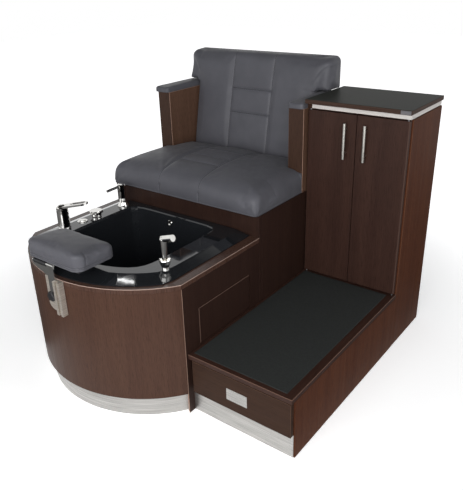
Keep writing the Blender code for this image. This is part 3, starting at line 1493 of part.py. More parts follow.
# ---------------------------------------------------------------- footrest
def build_footrest_channel():
    corner = FOOTREST_PLATE_CORNER
    left, right = FOOTREST_PLATE_LEFT, FOOTREST_PLATE_RIGHT
    bottom, top = FOOTREST_PLATE_BOTTOM, FOOTREST_PLATE_TOP
    low_corner = [
        (left + corner - corner * cos(angle), bottom + corner - corner * sin(angle))
        for angle in (radians(90 * step / 6) for step in range(7))
    ]
    outline = low_corner + [(right, bottom), (right, top), (left, top)]
    half = FOOTREST_SLOT_WIDTH / 2
    slot = arc((STRAP_MIDDLE_X, FOOTREST_SLOT_BOTTOM + half), half, -pi / 2, pi / 2, 8)
    slot += arc((STRAP_MIDDLE_X, FOOTREST_SLOT_TOP - half), half, pi / 2, 3 * pi / 2, 8)
    channel = plate(
        "footrest_channel", outline, PLATE_FRONT_Y, PLATE_BACK_Y, CHROME, along="Y", holes=[slot]
    )
    wall = (FOOTREST_RIB_WIDTH - FOOTREST_RIB_GROOVE) / 2
    rib_front = PLATE_FRONT_Y - FOOTREST_RIB_DEPTH
    groove_back = PLATE_FRONT_Y - FOOTREST_RIB_DEPTH * 0.45
    rib = plate(
        "footrest_rib",
        [
            (RIB_LEFT, PLATE_FRONT_Y + 0.001),
            (RIB_LEFT, rib_front),
            (RIB_LEFT + wall, rib_front),
            (RIB_LEFT + wall, groove_back),
            (right - wall, groove_back),
            (right - wall, rib_front),
            (right, rib_front),
            (right, PLATE_FRONT_Y + 0.001),
        ],
        bottom,
        top,
        None,
    )
    combine(channel, rib, "UNION")


def build_footrest_arm():
    hinge = (STRAP_MIDDLE_X, HINGE_Y, HINGE_AXIS_Z)
    outline = [
        (STRAP_LEFT, STRAP_BOTTOM + 0.004),
        (STRAP_LEFT + 0.004, STRAP_BOTTOM),
        (STRAP_RIGHT - 0.004, STRAP_BOTTOM),
        (STRAP_RIGHT, STRAP_BOTTOM + 0.004),
        (STRAP_RIGHT, STRAP_TOP),
        (STRAP_FLARE_LEFT, STRAP_TOP),
        (STRAP_FLARE_LEFT, STRAP_FLARE_HIGH_Z),
        (STRAP_LEFT, STRAP_FLARE_LOW_Z),
    ]
    bolt = circle((STRAP_MIDDLE_X, CLAMP_Z), CLAMP_HOLE_RADIUS, 16)
    arm = plate(
        "footrest_arm", outline, STRAP_FRONT_Y, STRAP_BACK_Y, CHROME, along="Y", holes=[bolt], origin=hinge
    )
    hinge_rod = rod(
        "footrest_hinge_rod",
        (STRAP_FLARE_LEFT, HINGE_Y, HINGE_AXIS_Z),
        (STRAP_RIGHT, HINGE_Y, HINGE_AXIS_Z),
        HINGE_ROD_RADIUS,
        None,
        24,
        hinge,
        CUTTERS,
    )
    combine(arm, hinge_rod, "UNION")
    for side, left, right in (
        ("left", STRAP_FLARE_LEFT, STRAP_FLARE_LEFT + STRAP_EAR),
        ("right", STRAP_LEFT, STRAP_RIGHT),
    ):
        low = (left, STRAP_FRONT_Y, STRAP_TOP - STRAP_EAR)
        high = (right, STRAP_BACK_Y, HINGE_AXIS_Z)
        combine(arm, box("footrest_ear_" + side, low, high, None, hinge, CUTTERS), "UNION")


def build_footrest_board():
    """The pad's board, with a hinge barrel wrapped round the free stretch of the rod."""
    hinge = (STRAP_MIDDLE_X, HINGE_Y, HINGE_AXIS_Z)
    back = PAD_FRONT_Y + PAD_DEPTH - PAD_BOARD_INSET
    left = PAD_CENTRE_X - PAD_WIDTH / 2 + PAD_BOARD_INSET
    right = PAD_CENTRE_X + PAD_WIDTH / 2 - PAD_BOARD_INSET
    front = PAD_FRONT_Y + PAD_BOARD_INSET
    board = box(
        "footrest_board",
        (left, front, BOARD_TOP - PAD_BOARD_THICKNESS),
        (right, back, BOARD_TOP),
        PLASTIC,
        hinge,
    )
    bore = HINGE_ROD_RADIUS + HINGE_CLEARANCE
    barrel_left = STRAP_FLARE_LEFT + STRAP_EAR + HINGE_END_CLEARANCE
    barrel_right = STRAP_LEFT - HINGE_END_CLEARANCE
    barrel = rod(
        "hinge_barrel",
        (barrel_left, HINGE_Y, HINGE_AXIS_Z),
        (barrel_right, HINGE_Y, HINGE_AXIS_Z),
        bore + HINGE_BARREL_WALL,
        None,
        24,
        hinge,
        CUTTERS,
    )
    leaf = box(
        "hinge_leaf",
        (barrel_left, HINGE_Y, HINGE_AXIS_Z + bore * 0.6),
        (barrel_right, front + 0.020, BOARD_TOP - PAD_BOARD_THICKNESS * 0.5),
        None,
        hinge,
        CUTTERS,
    )
    reamer = rod(
        "hinge_reamer",
        (barrel_left - 0.01, HINGE_Y, HINGE_AXIS_Z),
        (barrel_right + 0.01, HINGE_Y, HINGE_AXIS_Z),
        bore,
        None,
        24,
        hinge,
        CUTTERS,
    )
    combine(board, leaf, "UNION")
    combine(board, barrel, "UNION")
    combine(board, reamer, "DIFFERENCE")


def build_footrest_cushion():
    hinge = Vector((STRAP_MIDDLE_X, HINGE_Y, HINGE_AXIS_Z))
    half_u = PAD_WIDTH / 2
    half_v = PAD_DEPTH / 2
    bend = PAD_EDGE_ROUND
    near = [0, bend * 0.06, bend * 0.35, bend, PAD_CORNER]
    lines_u = graded([-half_u + step for step in near] + [half_u - step for step in reversed(near)], 0.035)
    lines_v = graded([-half_v + step for step in near] + [half_v - step for step in reversed(near)], 0.035)

    def height(u, v):
        top = PAD_SIDE_HEIGHT + crown(u, v, half_u, half_v, PAD_CROWN)
        return top - edge_fall(min(half_u - abs(u), half_v - abs(v)), bend)

    def pull(u, v):
        across = max(0.0, abs(u) - (half_u - PAD_CORNER))
        along = max(0.0, abs(v) - (half_v - PAD_CORNER))
        if across == 0 or along == 0:
            return u, v
        round_across = across * sqrt(1 - (along / PAD_CORNER) ** 2 / 2) - across
        round_along = along * sqrt(1 - (across / PAD_CORNER) ** 2 / 2) - along
        return u + (round_across if u > 0 else -round_across), v + (round_along if v > 0 else -round_along)

    cushion = quilted("footrest_cushion", lines_u, lines_v, lambda u, v: True, height, VINYL, pull)
    middle = Vector((PAD_CENTRE_X, PAD_FRONT_Y + half_v, PAD_BOTTOM))
    cushion.data.transform(Matrix.Translation(middle - hinge))
    cushion.location = hinge


def build_clamp_knob():
    place = (STRAP_MIDDLE_X, KNOB_BACK_Y, CLAMP_Z)
    knob = lobed(
        "footrest_knob",
        (
            (CLAMP_KNOB_RADIUS * 0.55, 0, 0),
            (CLAMP_KNOB_RADIUS * 0.62, CLAMP_KNOB_THICKNESS * 0.3, 0),
            (CLAMP_KNOB_RADIUS, CLAMP_KNOB_THICKNESS * 0.42, 0.003),
            (CLAMP_KNOB_RADIUS, CLAMP_KNOB_THICKNESS * 0.85, 0.003),
            (CLAMP_KNOB_RADIUS - 0.003, CLAMP_KNOB_THICKNESS, 0.0015),
        ),
        CLAMP_KNOB_LOBES,
        PLASTIC,
        place,
        36,
        (pi / 2, 0, 0),
    )
    bolt_back = PLATE_BACK_Y - JOINT_GAP
    bolt = rod(
        "footrest_bolt",
        (0, 0, -(bolt_back - KNOB_BACK_Y)),
        (0, 0, CLAMP_KNOB_THICKNESS * 0.3),
        CLAMP_BOLT_RADIUS,
        None,
        12,
        (0, 0, 0),
        CUTTERS,
    )
    bolt.location = place
    bolt.rotation_euler = (pi / 2, 0, 0)
    combine(knob, bolt, "UNION")


def build_footrest():
    build_footrest_channel()
    build_footrest_arm()
    build_footrest_board()
    build_footrest_cushion()
    build_clamp_knob()


build_apron()
build_basin_sides()
build_deck_frame()
build_tub()
build_tub_fittings()
build_drain()
build_mixer()
build_valve()
build_air_button()
build_popup_knob()
build_sprayer()
build_base()
build_arms()
build_seat_cushion()
build_back_cushion()
build_cabinet()
build_step()
build_footrest()
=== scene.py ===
"""Dresses the pedicure spa chair: finishes for its boards, tub and fittings, sewn cushions in place of the plain ones,
a studio floor and the camera. Metres, +Z up. Sizes are in the chair's own frame, whose origin is the floor under the
front left corner of the seat base."""

import logging
import math
from dataclasses import dataclass, field
from enum import Enum

import bmesh
import bpy
import numpy as np
from mathutils import Matrix, Quaternion, Vector
from mathutils.bvhtree import BVHTree


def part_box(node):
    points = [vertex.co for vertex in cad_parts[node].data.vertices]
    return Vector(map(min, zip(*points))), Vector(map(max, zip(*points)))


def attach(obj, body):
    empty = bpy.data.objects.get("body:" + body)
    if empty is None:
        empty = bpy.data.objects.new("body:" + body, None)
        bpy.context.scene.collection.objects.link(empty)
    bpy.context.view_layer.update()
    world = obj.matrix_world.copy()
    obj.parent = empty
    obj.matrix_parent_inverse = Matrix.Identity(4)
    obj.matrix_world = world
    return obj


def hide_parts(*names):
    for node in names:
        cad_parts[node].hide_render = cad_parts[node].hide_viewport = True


LOG = logging.getLogger("pedicure_chair")
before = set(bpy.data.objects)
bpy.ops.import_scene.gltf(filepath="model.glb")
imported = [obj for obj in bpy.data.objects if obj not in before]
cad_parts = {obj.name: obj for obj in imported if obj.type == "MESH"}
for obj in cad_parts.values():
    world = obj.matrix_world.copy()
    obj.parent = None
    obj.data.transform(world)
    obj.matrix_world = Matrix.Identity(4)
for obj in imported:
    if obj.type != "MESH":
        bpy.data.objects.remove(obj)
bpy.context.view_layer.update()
CHAIR_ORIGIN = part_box("base_front_panel")[0]
MM = 0.001
WHITE = "ffffff"
# Most of a noise texture's values lie between these.
NOISE_RANGE = (0.3, 0.7)

Place = tuple[float, float, float]
Span = tuple[float, float]
Face = tuple[int, ...]
Row = list[tuple[Vector, Vector]]
Socket = bpy.types.NodeSocket
Inputs = dict[str, Socket | float | str]
Fixed = tuple[tuple[str, float], ...]


# ---------------------------------------------------------------- shared tools
def linear(hex_colour: str) -> tuple[float, float, float, float]:
    """Turns an sRGB colour into the linear one that shaders take.

    Args:
        hex_colour: Six hex digits, such as "43302a".

    Returns:
        Linear red, green, blue and an alpha of 1.
    """
    parts = [int(hex_colour[at : at + 2], 16) / 255 for at in (0, 2, 4)]
    red, green, blue = (p / 12.92 if p <= 0.04045 else ((p + 0.055) / 1.055) ** 2.4 for p in parts)
    return red, green, blue, 1.0


def chair(x: float, y: float, z: float) -> Vector:
    """Returns a place in the chair's own frame as a place in the row frame."""
    return CHAIR_ORIGIN + Vector((x, y, z))


def placed(name: str, data: bpy.types.ID) -> bpy.types.Object:
    """Adds an object to the scene.

    Args:
        name: Its name.
        data: Its mesh, lamp or lens.

    Returns:
        The object.
    """
    made = bpy.data.objects.new(name, data)
    bpy.context.scene.collection.objects.link(made)
    return made


# ---------------------------------------------------------------- node trees
@dataclass(frozen=True)
class Marks:
    """Noise of a real size: one blotch's size in mm, alike all ways or one for each of X, Y and Z, the values at its
    dark and light ends, and how many finer layers it has."""

    size_mm: tuple[float, ...]
    low: float = 0.0
    high: float = 1.0
    detail: float = 2.0


@dataclass(frozen=True)
class Paint:
    """A node tree, and the patterns that finishes are made of."""

    tree: bpy.types.NodeTree

    def node(self, kind: str, inputs: dict | None = None, **settings) -> bpy.types.Node:
        """Adds a shader node.

        Args:
            kind: The node's type without "ShaderNode".
            inputs: What its inputs take.
            **settings: The node's own properties.

        Returns:
            The node.
        """
        node = self.tree.nodes.new("ShaderNode" + kind)
        for name, value in settings.items():
            setattr(node, name, value)
        self.feed(node, inputs or {})
        return node

    def feed(self, node: bpy.types.Node, inputs: dict) -> None:
        """Sets or links a node's inputs.

        Args:
            node: The node.
            inputs: By name or number, another node's output, a value, or a colour in hex.
        """
        for key, value in inputs.items():
            if isinstance(value, Socket):
                self.tree.links.new(value, node.inputs[key])
            else:
                node.inputs[key].default_value = linear(value) if isinstance(value, str) else value

    def maths(self, operation: str, first: Socket | float, second: Socket | float) -> Socket:
        """Returns what the Math node's operation makes of two values."""
        return self.node("Math", {0: first, 1: second}, operation=operation).outputs[0]

    def parts(self, kind: str, unsigned: bool = False) -> tuple[Socket, ...]:
        """Splits a texture coordinate.

        Args:
            kind: The coordinate, such as "Normal".
            unsigned: Whether the parts lose their signs.

        Returns:
            Its X, Y and Z.
        """
        spot = self.node("TexCoord").outputs[kind]
        if unsigned:
            spot = self.node("VectorMath", {0: spot}, operation="ABSOLUTE").outputs[0]
        return tuple(self.node("SeparateXYZ", {0: spot}).outputs)

    def ranged(
        self, value: Socket, start: float, end: float, low: float = 0.0, high: float = 1.0, curve: str = "LINEAR"
    ) -> Socket:
        """Returns low where a value is at its range's start, high at its end, and between them along a curve."""
        inputs = {0: value, 1: start, 2: end, 3: low, 4: high}
        return self.node("MapRange", inputs, interpolation_type=curve).outputs[0]

    def scaled(self, *size_mm: float) -> Socket:
        """Returns object coordinates that count in units of one real size, or of one for each way."""
        sizes = size_mm * 3 if len(size_mm) == 1 else size_mm
        spot = self.node("TexCoord").outputs["Object"]
        return self.node("Mapping", {"Vector": spot, "Scale": tuple(1.0 / MM / size for size in sizes)}).outputs[0]

    def noise(self, marks: Marks, base: float = 0.0) -> Socket:
        """Adds a noise pattern.

        Args:
            marks: Its size and values.
            base: What is added to the values.

        Returns:
            The pattern.
        """
        inputs = {"Vector": self.scaled(*marks.size_mm), "Scale": 1.0, "Detail": marks.detail}
        rough = self.node("TexNoise", inputs).outputs[0]
        return self.ranged(rough, *NOISE_RANGE, base + marks.low, base + marks.high)

    def cells(self, size_mm: float) -> Socket:
        """Returns a pattern of cells of a real size, 0 in their middles."""
        return self.node("TexVoronoi", {"Vector": self.scaled(size_mm), "Scale": 1.0}).outputs["Distance"]

    def mixed(self, share: Socket, first: Socket | str, second: Socket | str) -> Socket:
        """Returns a first colour with a share of a second one."""
        return self.node("Mix", {0: share, 6: first, 7: second}, data_type="RGBA").outputs[2]

    def relief(self, height: Socket, depth_mm: float, strength: float) -> Socket:
        """Returns the normal of a relief, from its height (0 to 1), its depth and how strongly it tilts the light."""
        return self.node("Bump", {"Height": height, "Distance": depth_mm * MM, "Strength": strength}).outputs[0]

    def seen(self) -> tuple[Socket, Socket]:
        """Returns whether a ray is the camera's, straight or by polish or glass, and whether it is by polish."""
        path = self.node("LightPath").outputs
        seen = self.maths("MAXIMUM", path["Is Camera Ray"], path["Is Glossy Ray"])
        return self.maths("MAXIMUM", seen, path["Is Transmission Ray"]), path["Is Glossy Ray"]


# ---------------------------------------------------------------- finishes
class Grain(Enum):
    """The way a board's grain runs, as the size in mm of one streak along X, Y and Z."""

    UPRIGHT = (1.0, 1.0, 60.0)
    ACROSS = (60.0, 1.0, 1.0)
    DEEP = (1.0, 60.0, 1.0)


class Arris(Enum):
    """Which edges of a board get a painted highlight, lighter where a bevel would catch the light."""

    ALL = "every edge"
    CREST = "the upper edges"
    FRONT = "the upright edges at the front"
    NONE = "none"


@dataclass(frozen=True)
class Finish:
    """A surface finish. Subclasses say what the real material is."""

    name: str
    colour: str
    roughness: float

    def material(self) -> bpy.types.Material:
        """Returns the finish as a node material."""
        made = bpy.data.materials.new(self.name)
        made.use_nodes = True
        made.diffuse_color = linear(self.colour)
        paint = Paint(made.node_tree)
        shader = made.node_tree.nodes["Principled BSDF"]
        paint.feed(shader, {"Base Color": self.colour, "Roughness": self.roughness})
        paint.feed(shader, self.dress(paint))
        return made

    def dress(self, paint: Paint) -> Inputs:
        """Adds the finish's own nodes.

        Args:
            paint: The material's node tree.

        Returns:
            What the shader's inputs take.
        """
        raise NotImplementedError


@dataclass(frozen=True)
class WengeVeneer(Finish):
    """Wenge-stained veneer under satin lacquer: sliced veneer shows long dark streaks and short open pores, and the
    lacquer a soft sheen. Its edges carry painted light: lighter arrises as painted highlights, where a bevel would
    catch the light, and on some boards a painted highlight along a rim and painted shade on the faces that look
    forward."""

    streak: str = "463028"
    pore: str = "170e0c"
    # The colour of the painted highlight on the arrises.
    edge: str = "745a4d"
    grain: Grain = Grain.UPRIGHT
    arris: Arris = Arris.ALL
    coat: float = 0.06
    # Painted shade: a darker colour for the faces that look forward, where less light falls.
    painted_front_shade: str | None = None
    # Painted highlight: a light colour for the faces that don't look straight up above a height, and that height.
    painted_rim_highlight: str = "a48d82"
    painted_rim_highlight_above: float | None = None
    shine: float = 0.10
    # An arris faces between two faces: no part of its normal reaches this.
    square: float = 0.93

    def along(self, size: float, low: float, high: float, detail: float = 2.0, stretch: float = 1.0) -> Marks:
        """Returns marks drawn out along the grain.

        Args:
            size: Their size across it in mm.
            low: Their darkest value.
            high: Their lightest value.
            detail: Their finer layers.
            stretch: The power of the grain's length that they have.
        """
        return Marks(tuple(size * way**stretch for way in self.grain.value), low, high, detail)

    def dress(self, paint: Paint) -> Inputs:
        """Streaks and pores along the grain, painted highlights on the edges and the rim, painted shade on the faces
        that look forward, and the lacquer's coat.
        """
        # Veneer streaks are about 1 mm wide. They are drawn 3 mm wide, so that they show at this distance.
        colour = paint.mixed(paint.noise(self.along(30, 0.0, 0.40, 1.0, 0.7)), self.colour, self.streak)
        colour = paint.mixed(paint.noise(self.along(3, 0.0, 0.42, 3.0)), colour, self.streak)
        # Painted shade: the faces that look forward (-Y) are mixed towards a darker colour.
        if self.painted_front_shade is not None:
            ahead = paint.ranged(paint.parts("Normal")[1], -0.6, -0.8, 0.0, 0.8)
            colour = paint.mixed(ahead, colour, self.painted_front_shade)
        pores = paint.noise(self.along(1.1, -0.9, 0.62, 2.0, 0.8))
        colour = paint.mixed(pores, colour, self.pore)
        # Painted highlight: the arrises that show are mixed to the lighter edge colour.
        if self.arris is not Arris.NONE:
            colour = paint.mixed(self.painted_edge_highlight(paint), colour, self.edge)
        # Painted highlight: faces above a height that don't look straight up are mixed to a light colour, as a lit rim
        # line.
        if self.painted_rim_highlight_above is not None:
            above = paint.maths("GREATER_THAN", paint.parts("Object")[2], self.painted_rim_highlight_above)
            side = paint.maths("LESS_THAN", paint.parts("Normal")[2], self.square)
            colour = paint.mixed(paint.maths("MULTIPLY", above, side), colour, self.painted_rim_highlight)
        return {
            "Base Color": colour,
            "Roughness": paint.noise(self.along(6, -0.05, 0.06), self.roughness),
            "Coat Weight": self.coat,
            "Coat Roughness": 0.22,
            "Specular IOR Level": self.shine,
            "Normal": paint.relief(pores, 0.06, 0.25),
        }

    def painted_edge_highlight(self, paint: Paint) -> Socket:
        """Returns 1 on the arrises that get the painted highlight and 0 elsewhere, by the way they face."""
        _, ahead, up = paint.parts("Normal")
        if self.arris is Arris.CREST:
            level = paint.maths("GREATER_THAN", up, 0.3)
            return paint.maths("MULTIPLY", level, paint.maths("LESS_THAN", up, self.square))
        across, along, upright = paint.parts("Normal", unsigned=True)
        most = paint.maths("MAXIMUM", paint.maths("MAXIMUM", across, along), upright)
        edge = paint.maths("LESS_THAN", most, self.square)
        if self.arris is Arris.ALL:
            return edge
        return paint.maths("MULTIPLY", edge, paint.maths("LESS_THAN", ahead, -0.3))


@dataclass(frozen=True)
class UpholsteryVinyl(Finish):
    """Expanded vinyl on a knit backing, embossed with a leather grain: dull, with a faint sheen where it turns away."""

    shade: str = "3d3d42"
    # Painted shade in the seams' creases: its colour, and its share where a seam is deepest.
    crease: str = "242428"
    crease_shade_share: float = 0.55
    # The embossed pebbles are about 1 mm across. They are drawn a little over 2 mm, so that they show.
    pebble_mm: float = 2.4

    def dress(self, paint: Paint) -> Inputs:
        """An embossed grain, blotchy wear, and painted shade in the seams' creases."""
        colour = paint.mixed(paint.noise(Marks((70,), 0.0, 0.30, 3.0)), self.colour, self.shade)
        # The "seam" attribute says where the painted crease shade lies.
        seam = paint.node("Attribute", attribute_name="seam").outputs["Fac"]
        return {
            "Base Color": paint.mixed(paint.maths("MULTIPLY", seam, self.crease_shade_share), colour, self.crease),
            "Roughness": paint.noise(Marks((25,), -0.06, 0.07), self.roughness),
            "Sheen Weight": 0.06,
            "Specular IOR Level": 0.3,
            "Normal": paint.relief(paint.cells(self.pebble_mm), 0.22, 0.35),
        }


@dataclass(frozen=True)
class MarkedFinish(Finish):
    """A finish with marks of a second colour. Its gloss may vary round its roughness, and its relief, as a depth in mm
    and a strength, follows its pits or else the marks."""

    second: str
    marks: Marks
    gloss: Marks | None = None
    pits: Marks | None = None
    relief: Span | None = None
    fixed: Fixed = ()

    def dress(self, paint: Paint) -> Inputs:
        """The marks, the gloss, the relief and what is alike all over."""
        marks = paint.noise(self.marks)
        inputs = {"Base Color": paint.mixed(marks, self.colour, self.second), **dict(self.fixed)}
        if self.gloss:
            inputs["Roughness"] = paint.noise(self.gloss, self.roughness)
        if self.relief:
            inputs["Normal"] = paint.relief(paint.noise(self.pits) if self.pits else marks, *self.relief)
        return inputs


@dataclass(frozen=True)
class CastAcrylic(MarkedFinish):
    """Cast acrylic sheet drawn over a mould: a hard, deep gloss, dusty in places, that ripples over a hand's width."""

    second: str = "27292c"
    marks: Marks = Marks((9,), 0.0, 0.25, 4.0)
    gloss: Marks = Marks((45,), 0.0, 0.05, 3.0)
    pits: Marks = Marks((60,), detail=1.0)
    relief: Span = (0.6, 0.10)
    fixed: Fixed = (("IOR", 1.49), ("Coat Weight", 0.25), ("Coat Roughness", 0.02))


@dataclass(frozen=True)
class ChromePlate(MarkedFinish):
    """Bright chrome plate on polished brass: a mirror with a trace of handling."""

    second: str = "c9c6c0"
    marks: Marks = Marks((30,), 0.0, 0.35, 1.0)
    gloss: Marks = Marks((14,), 0.0, 0.05, 3.0)
    fixed: Fixed = (("Metallic", 1.0),)


@dataclass(frozen=True)
class SatinNickel(MarkedFinish):
    """Nickel plate dulled with fine upright scratches: a soft, slightly warm grey. They are about 0.1 mm apart, and are
    drawn 0.8 mm apart, so that they show."""

    second: str = "9d9a94"
    marks: Marks = Marks((0.8, 0.8, 60), 0.0, 0.6)
    gloss: Marks = Marks((3, 3, 40), -0.05, 0.08)
    fixed: Fixed = (("Metallic", 1.0),)


@dataclass(frozen=True)
class BrushedMetal(MarkedFinish):
    """Metal sheet brushed with an abrasive belt: long level scratches about 0.1 mm apart, drawn 0.9 mm apart, so that
    they show. Clear anodising scatters some of the light, which makes it less metallic."""

    second: str = "8f8e8b"
    marks: Marks = Marks((140, 140, 0.9))
    gloss: Marks = Marks((90, 90, 2.5), -0.06, 0.10)
    relief: Span = (0.04, 0.3)
    fixed: Fixed = (("Metallic", 1.0),)


@dataclass(frozen=True)
class MouldedSurface(MarkedFinish):
    """Moulded rubber or ABS with a spark-eroded mould texture: dull, with dusty flecks and fine pits. The pits are some
    0.2 mm across, and are drawn coarser, so that they show."""

    second: str = "3a3c3b"
    marks: Marks = Marks((6,), 0.0, 0.5, 4.0)
    pits: Marks = Marks((1.6,))
    relief: Span = (0.12, 0.3)
    fixed: Fixed = (("Specular IOR Level", 0.15),)


@dataclass(frozen=True)
class PlywoodBirch(MarkedFinish):
    """Birch plywood under clear lacquer: pale, with faint level grain."""

    second: str = "b08a5c"
    marks: Marks = Marks((90, 90, 3), 0.0, 0.7, 3.0)
    relief: Span = (0.05, 0.3)
    fixed: Fixed = (("Coat Weight", 0.2),)


@dataclass(frozen=True)
class BondedThread(MarkedFinish):
    """Bonded nylon thread: two twisted plies with a slight shine."""

    second: str = "3a3a3f"
    marks: Marks = Marks((0.8,), 0.0, 0.6, 1.0)
    relief: Span = (0.1, 0.4)


@dataclass(frozen=True)
class ZincPlate(Finish):
    """Zinc-plated steel: a pale grey with a faint spangle of 4 mm crystals."""

    spangle: str = "8d9094"

    def dress(self, paint: Paint) -> Inputs:
        """The plating's crystals and its uneven gloss."""
        share = paint.ranged(paint.cells(4.0), 0.0, 1.0, 0.0, 0.5)
        return {
            "Metallic": 1.0,
            "Base Color": paint.mixed(share, self.colour, self.spangle),
            "Roughness": paint.noise(Marks((8,), -0.05, 0.10), self.roughness),
        }


@dataclass(frozen=True)
class EdgedLaminate(Finish):
    """High-pressure laminate with a fine crystal texture on a board whose edges are veneered."""

    speck: str = "3a3c38"
    veneer: str = "4a3a33"
    streak: str = "33241f"

    def dress(self, paint: Paint) -> Inputs:
        """A speckled top, and streaked veneer on the faces that don't look up."""
        top = paint.mixed(paint.noise(Marks((3.2,), 0.0, 0.6, 3.0)), self.colour, self.speck)
        side = paint.mixed(paint.noise(Marks((120, 120, 2.5), 0.0, 0.6)), self.veneer, self.streak)
        return {
            "Base Color": paint.mixed(paint.ranged(paint.parts("Normal")[2], 0.3, 0.6), side, top),
            "Specular IOR Level": 0.02,
            "Normal": paint.relief(paint.noise(Marks((1.4,))), 0.08, 0.3),
        }


@dataclass(frozen=True)
class PaintedStudio(Finish):
    """The photographer's seamless paper. It isn't part of the chair."""

    fibre: str = "f0f0f0"
    card: str = "201d1b"
    lift: float = 0.45
    lifted: Span = (0.8, 2.4)
    card_inner: Span = (1.0, 1.2)
    card_beside: Span = (0.61, 0.68)
    card_outer: Span = (3.0, 3.6)
    card_share: float = 0.92

    def dress(self, paint: Paint) -> Inputs:
        """Pale paper that keeps the shadow, lifted to white away from the chair for the camera and in reflections.
        Reflections also show a ring of dark card on it, which gives polished metal its contrast."""
        colour = paint.mixed(paint.noise(Marks((30,), 0.0, 0.12)), self.colour, self.fibre)
        seen, polish = paint.seen()
        spot = paint.node("TexCoord").outputs["Object"]
        away = paint.node("VectorMath", {0: spot}, operation="LENGTH").outputs["Value"]
        beside = paint.ranged(paint.parts("Object", unsigned=True)[0], *self.card_beside)
        inner = paint.maths("MAXIMUM", paint.ranged(away, *self.card_inner), beside)
        outer = paint.ranged(away, *self.card_outer, self.card_share, 0.0)
        ring = paint.maths("MULTIPLY", paint.maths("MULTIPLY", inner, outer), polish)
        rise = paint.ranged(away, *self.lifted, self.lift, 1.0, "SMOOTHSTEP")
        bare = paint.maths("SUBTRACT", 1.0, ring)
        return {
            "Base Color": paint.mixed(ring, colour, self.card),
            "Emission Color": WHITE,
            "Emission Strength": paint.maths("MULTIPLY", paint.maths("MULTIPLY", seen, rise), bare),
        }


WENGE = "wenge_upright"
VINYL = "grey_upholstery_vinyl"
THREAD = "bonded_thread"
ALUMINIUM = "brushed_aluminium"
GUNMETAL = "gunmetal_plate"
PAPER = "seamless_paper"

# Every finish that has been made, by its name.
MATERIALS: dict[str, bpy.types.Material] = {}
# Each finish with the CAD nodes that show it. A node that isn't here shows the upright wenge.
CHOSEN: tuple[tuple[Finish, str], ...] = (
    (WengeVeneer(WENGE, "33201a", 0.46), ""),
    (WengeVeneer("wenge_bowed", "452f26", 0.40, streak="543c30", pore="271914", arris=Arris.NONE), "apron"),
    (
        WengeVeneer(
            "wenge_rim", "452f26", 0.30, streak="5a4238", edge="b9a297", arris=Arris.CREST, coat=0.45,
            # The rim's top outer edge gets a painted highlight.
            painted_rim_highlight_above=0.5183,
        ),
        "deck_frame",
    ),
    (
        WengeVeneer("wenge_side", "2a1b17", 0.46, streak="37261f", edge="a58878", arris=Arris.FRONT),
        "basin_side_left basin_side_right",
    ),
    (WengeVeneer("wenge_panel", "2a1b17", 0.46, streak="37261f", edge="6b554b"), "service_panel"),
    (
        WengeVeneer("wenge_plain", "2a1b17", 0.46, streak="37261f", arris=Arris.NONE),
        "base_side_left base_side_right base_front_panel",
    ),
    (WengeVeneer("wenge_door", "31201b", 0.46, edge="4b3932"), "cabinet_door_left cabinet_door_right"),
    (
        WengeVeneer("wenge_across", "301e15", 0.50, streak="402c20", edge="503c30", grain=Grain.ACROSS, coat=0.0),
        "drawer_front cabinet_floor cabinet_shelf cabinet_top_board",
    ),
    (WengeVeneer("wenge_deep", "33201a", 0.46, grain=Grain.DEEP, arris=Arris.CREST), "seat_board step_top_frame"),
    (
        WengeVeneer("wenge_reddish", "4a2a1d", 0.55, streak="613b28", edge="5f4030", coat=0.0, shine=0.04),
        "cabinet_side_right cabinet_side_left step_side_right",
    ),
    # The arms' forward faces get painted shade.
    (
        WengeVeneer("wenge_pale", "5a4133", 0.46, streak="745848", edge="9a7c6c", painted_front_shade="33231c"),
        "arm_left arm_right",
    ),
    (UpholsteryVinyl(VINYL, "56565c", 0.50), ""),
    (BondedThread(THREAD, "86868d", 0.55), ""),
    (CastAcrylic("black_cast_acrylic", "1f2124", 0.03), "tub"),
    (
        ChromePlate("chrome_plate", "e2e1de", 0.04),
        "overflow_ring drain_waste drain_stopper mixer_body mixer_cap mixer_lever valve_body valve_lever"
        " air_button_bezel air_button popup_knob sprayer_collar sprayer_head footrest_arm",
    ),
    (SatinNickel("satin_nickel", "cfccc5", 0.26), "door_handle_left door_handle_right"),
    (BrushedMetal(ALUMINIUM, "d2d0cd", 0.36), "apron_kick_plate step_kick_plate"),
    (BrushedMetal("satin_anodised", "d6d0cc", 0.50, second="c4bfbb", fixed=(("Metallic", 0.3),)), "reveal_band"),
    (
        BrushedMetal("brushed_stainless", "dcd3c8", 0.36, second="aaa298", fixed=(("Metallic", 0.65),)),
        "footrest_channel",
    ),
    (BrushedMetal(GUNMETAL, "7b787b", 0.35, second="5a585b"), ""),
    (
        ZincPlate("zinc_plated_steel", "b4b7ba", 0.38),
        "door_pivot_rod_left door_pivot_rod_right drawer_runner_left drawer_runner_right",
    ),
    (MouldedSurface("ribbed_rubber", "2e302f", 0.72), "step_mat"),
    (
        MouldedSurface("textured_abs", "1c1c1e", 0.42, second="2b2b2d", fixed=(("Specular IOR Level", 0.4),)),
        "jet_pump footrest_board footrest_knob",
    ),
    (EdgedLaminate("dark_laminate", "31322d", 0.42), "cabinet_slab"),
    (PlywoodBirch("lacquered_birch", "c9a877", 0.45), "drawer_box"),
    (PaintedStudio(PAPER, "fafafa", 0.9), ""),
)


def dress_nodes() -> None:
    """Makes the finishes and gives each CAD node its own."""
    finish_of: dict[str, str] = {}
    for finish, names in CHOSEN:
        MATERIALS[finish.name] = finish.material()
        finish_of |= dict.fromkeys(names.split(), finish.name)
    for name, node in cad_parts.items():
        node.data.materials.clear()
        node.data.materials.append(MATERIALS[finish_of.get(name, WENGE)])
    LOG.info("dressed %d CAD nodes", len(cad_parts))


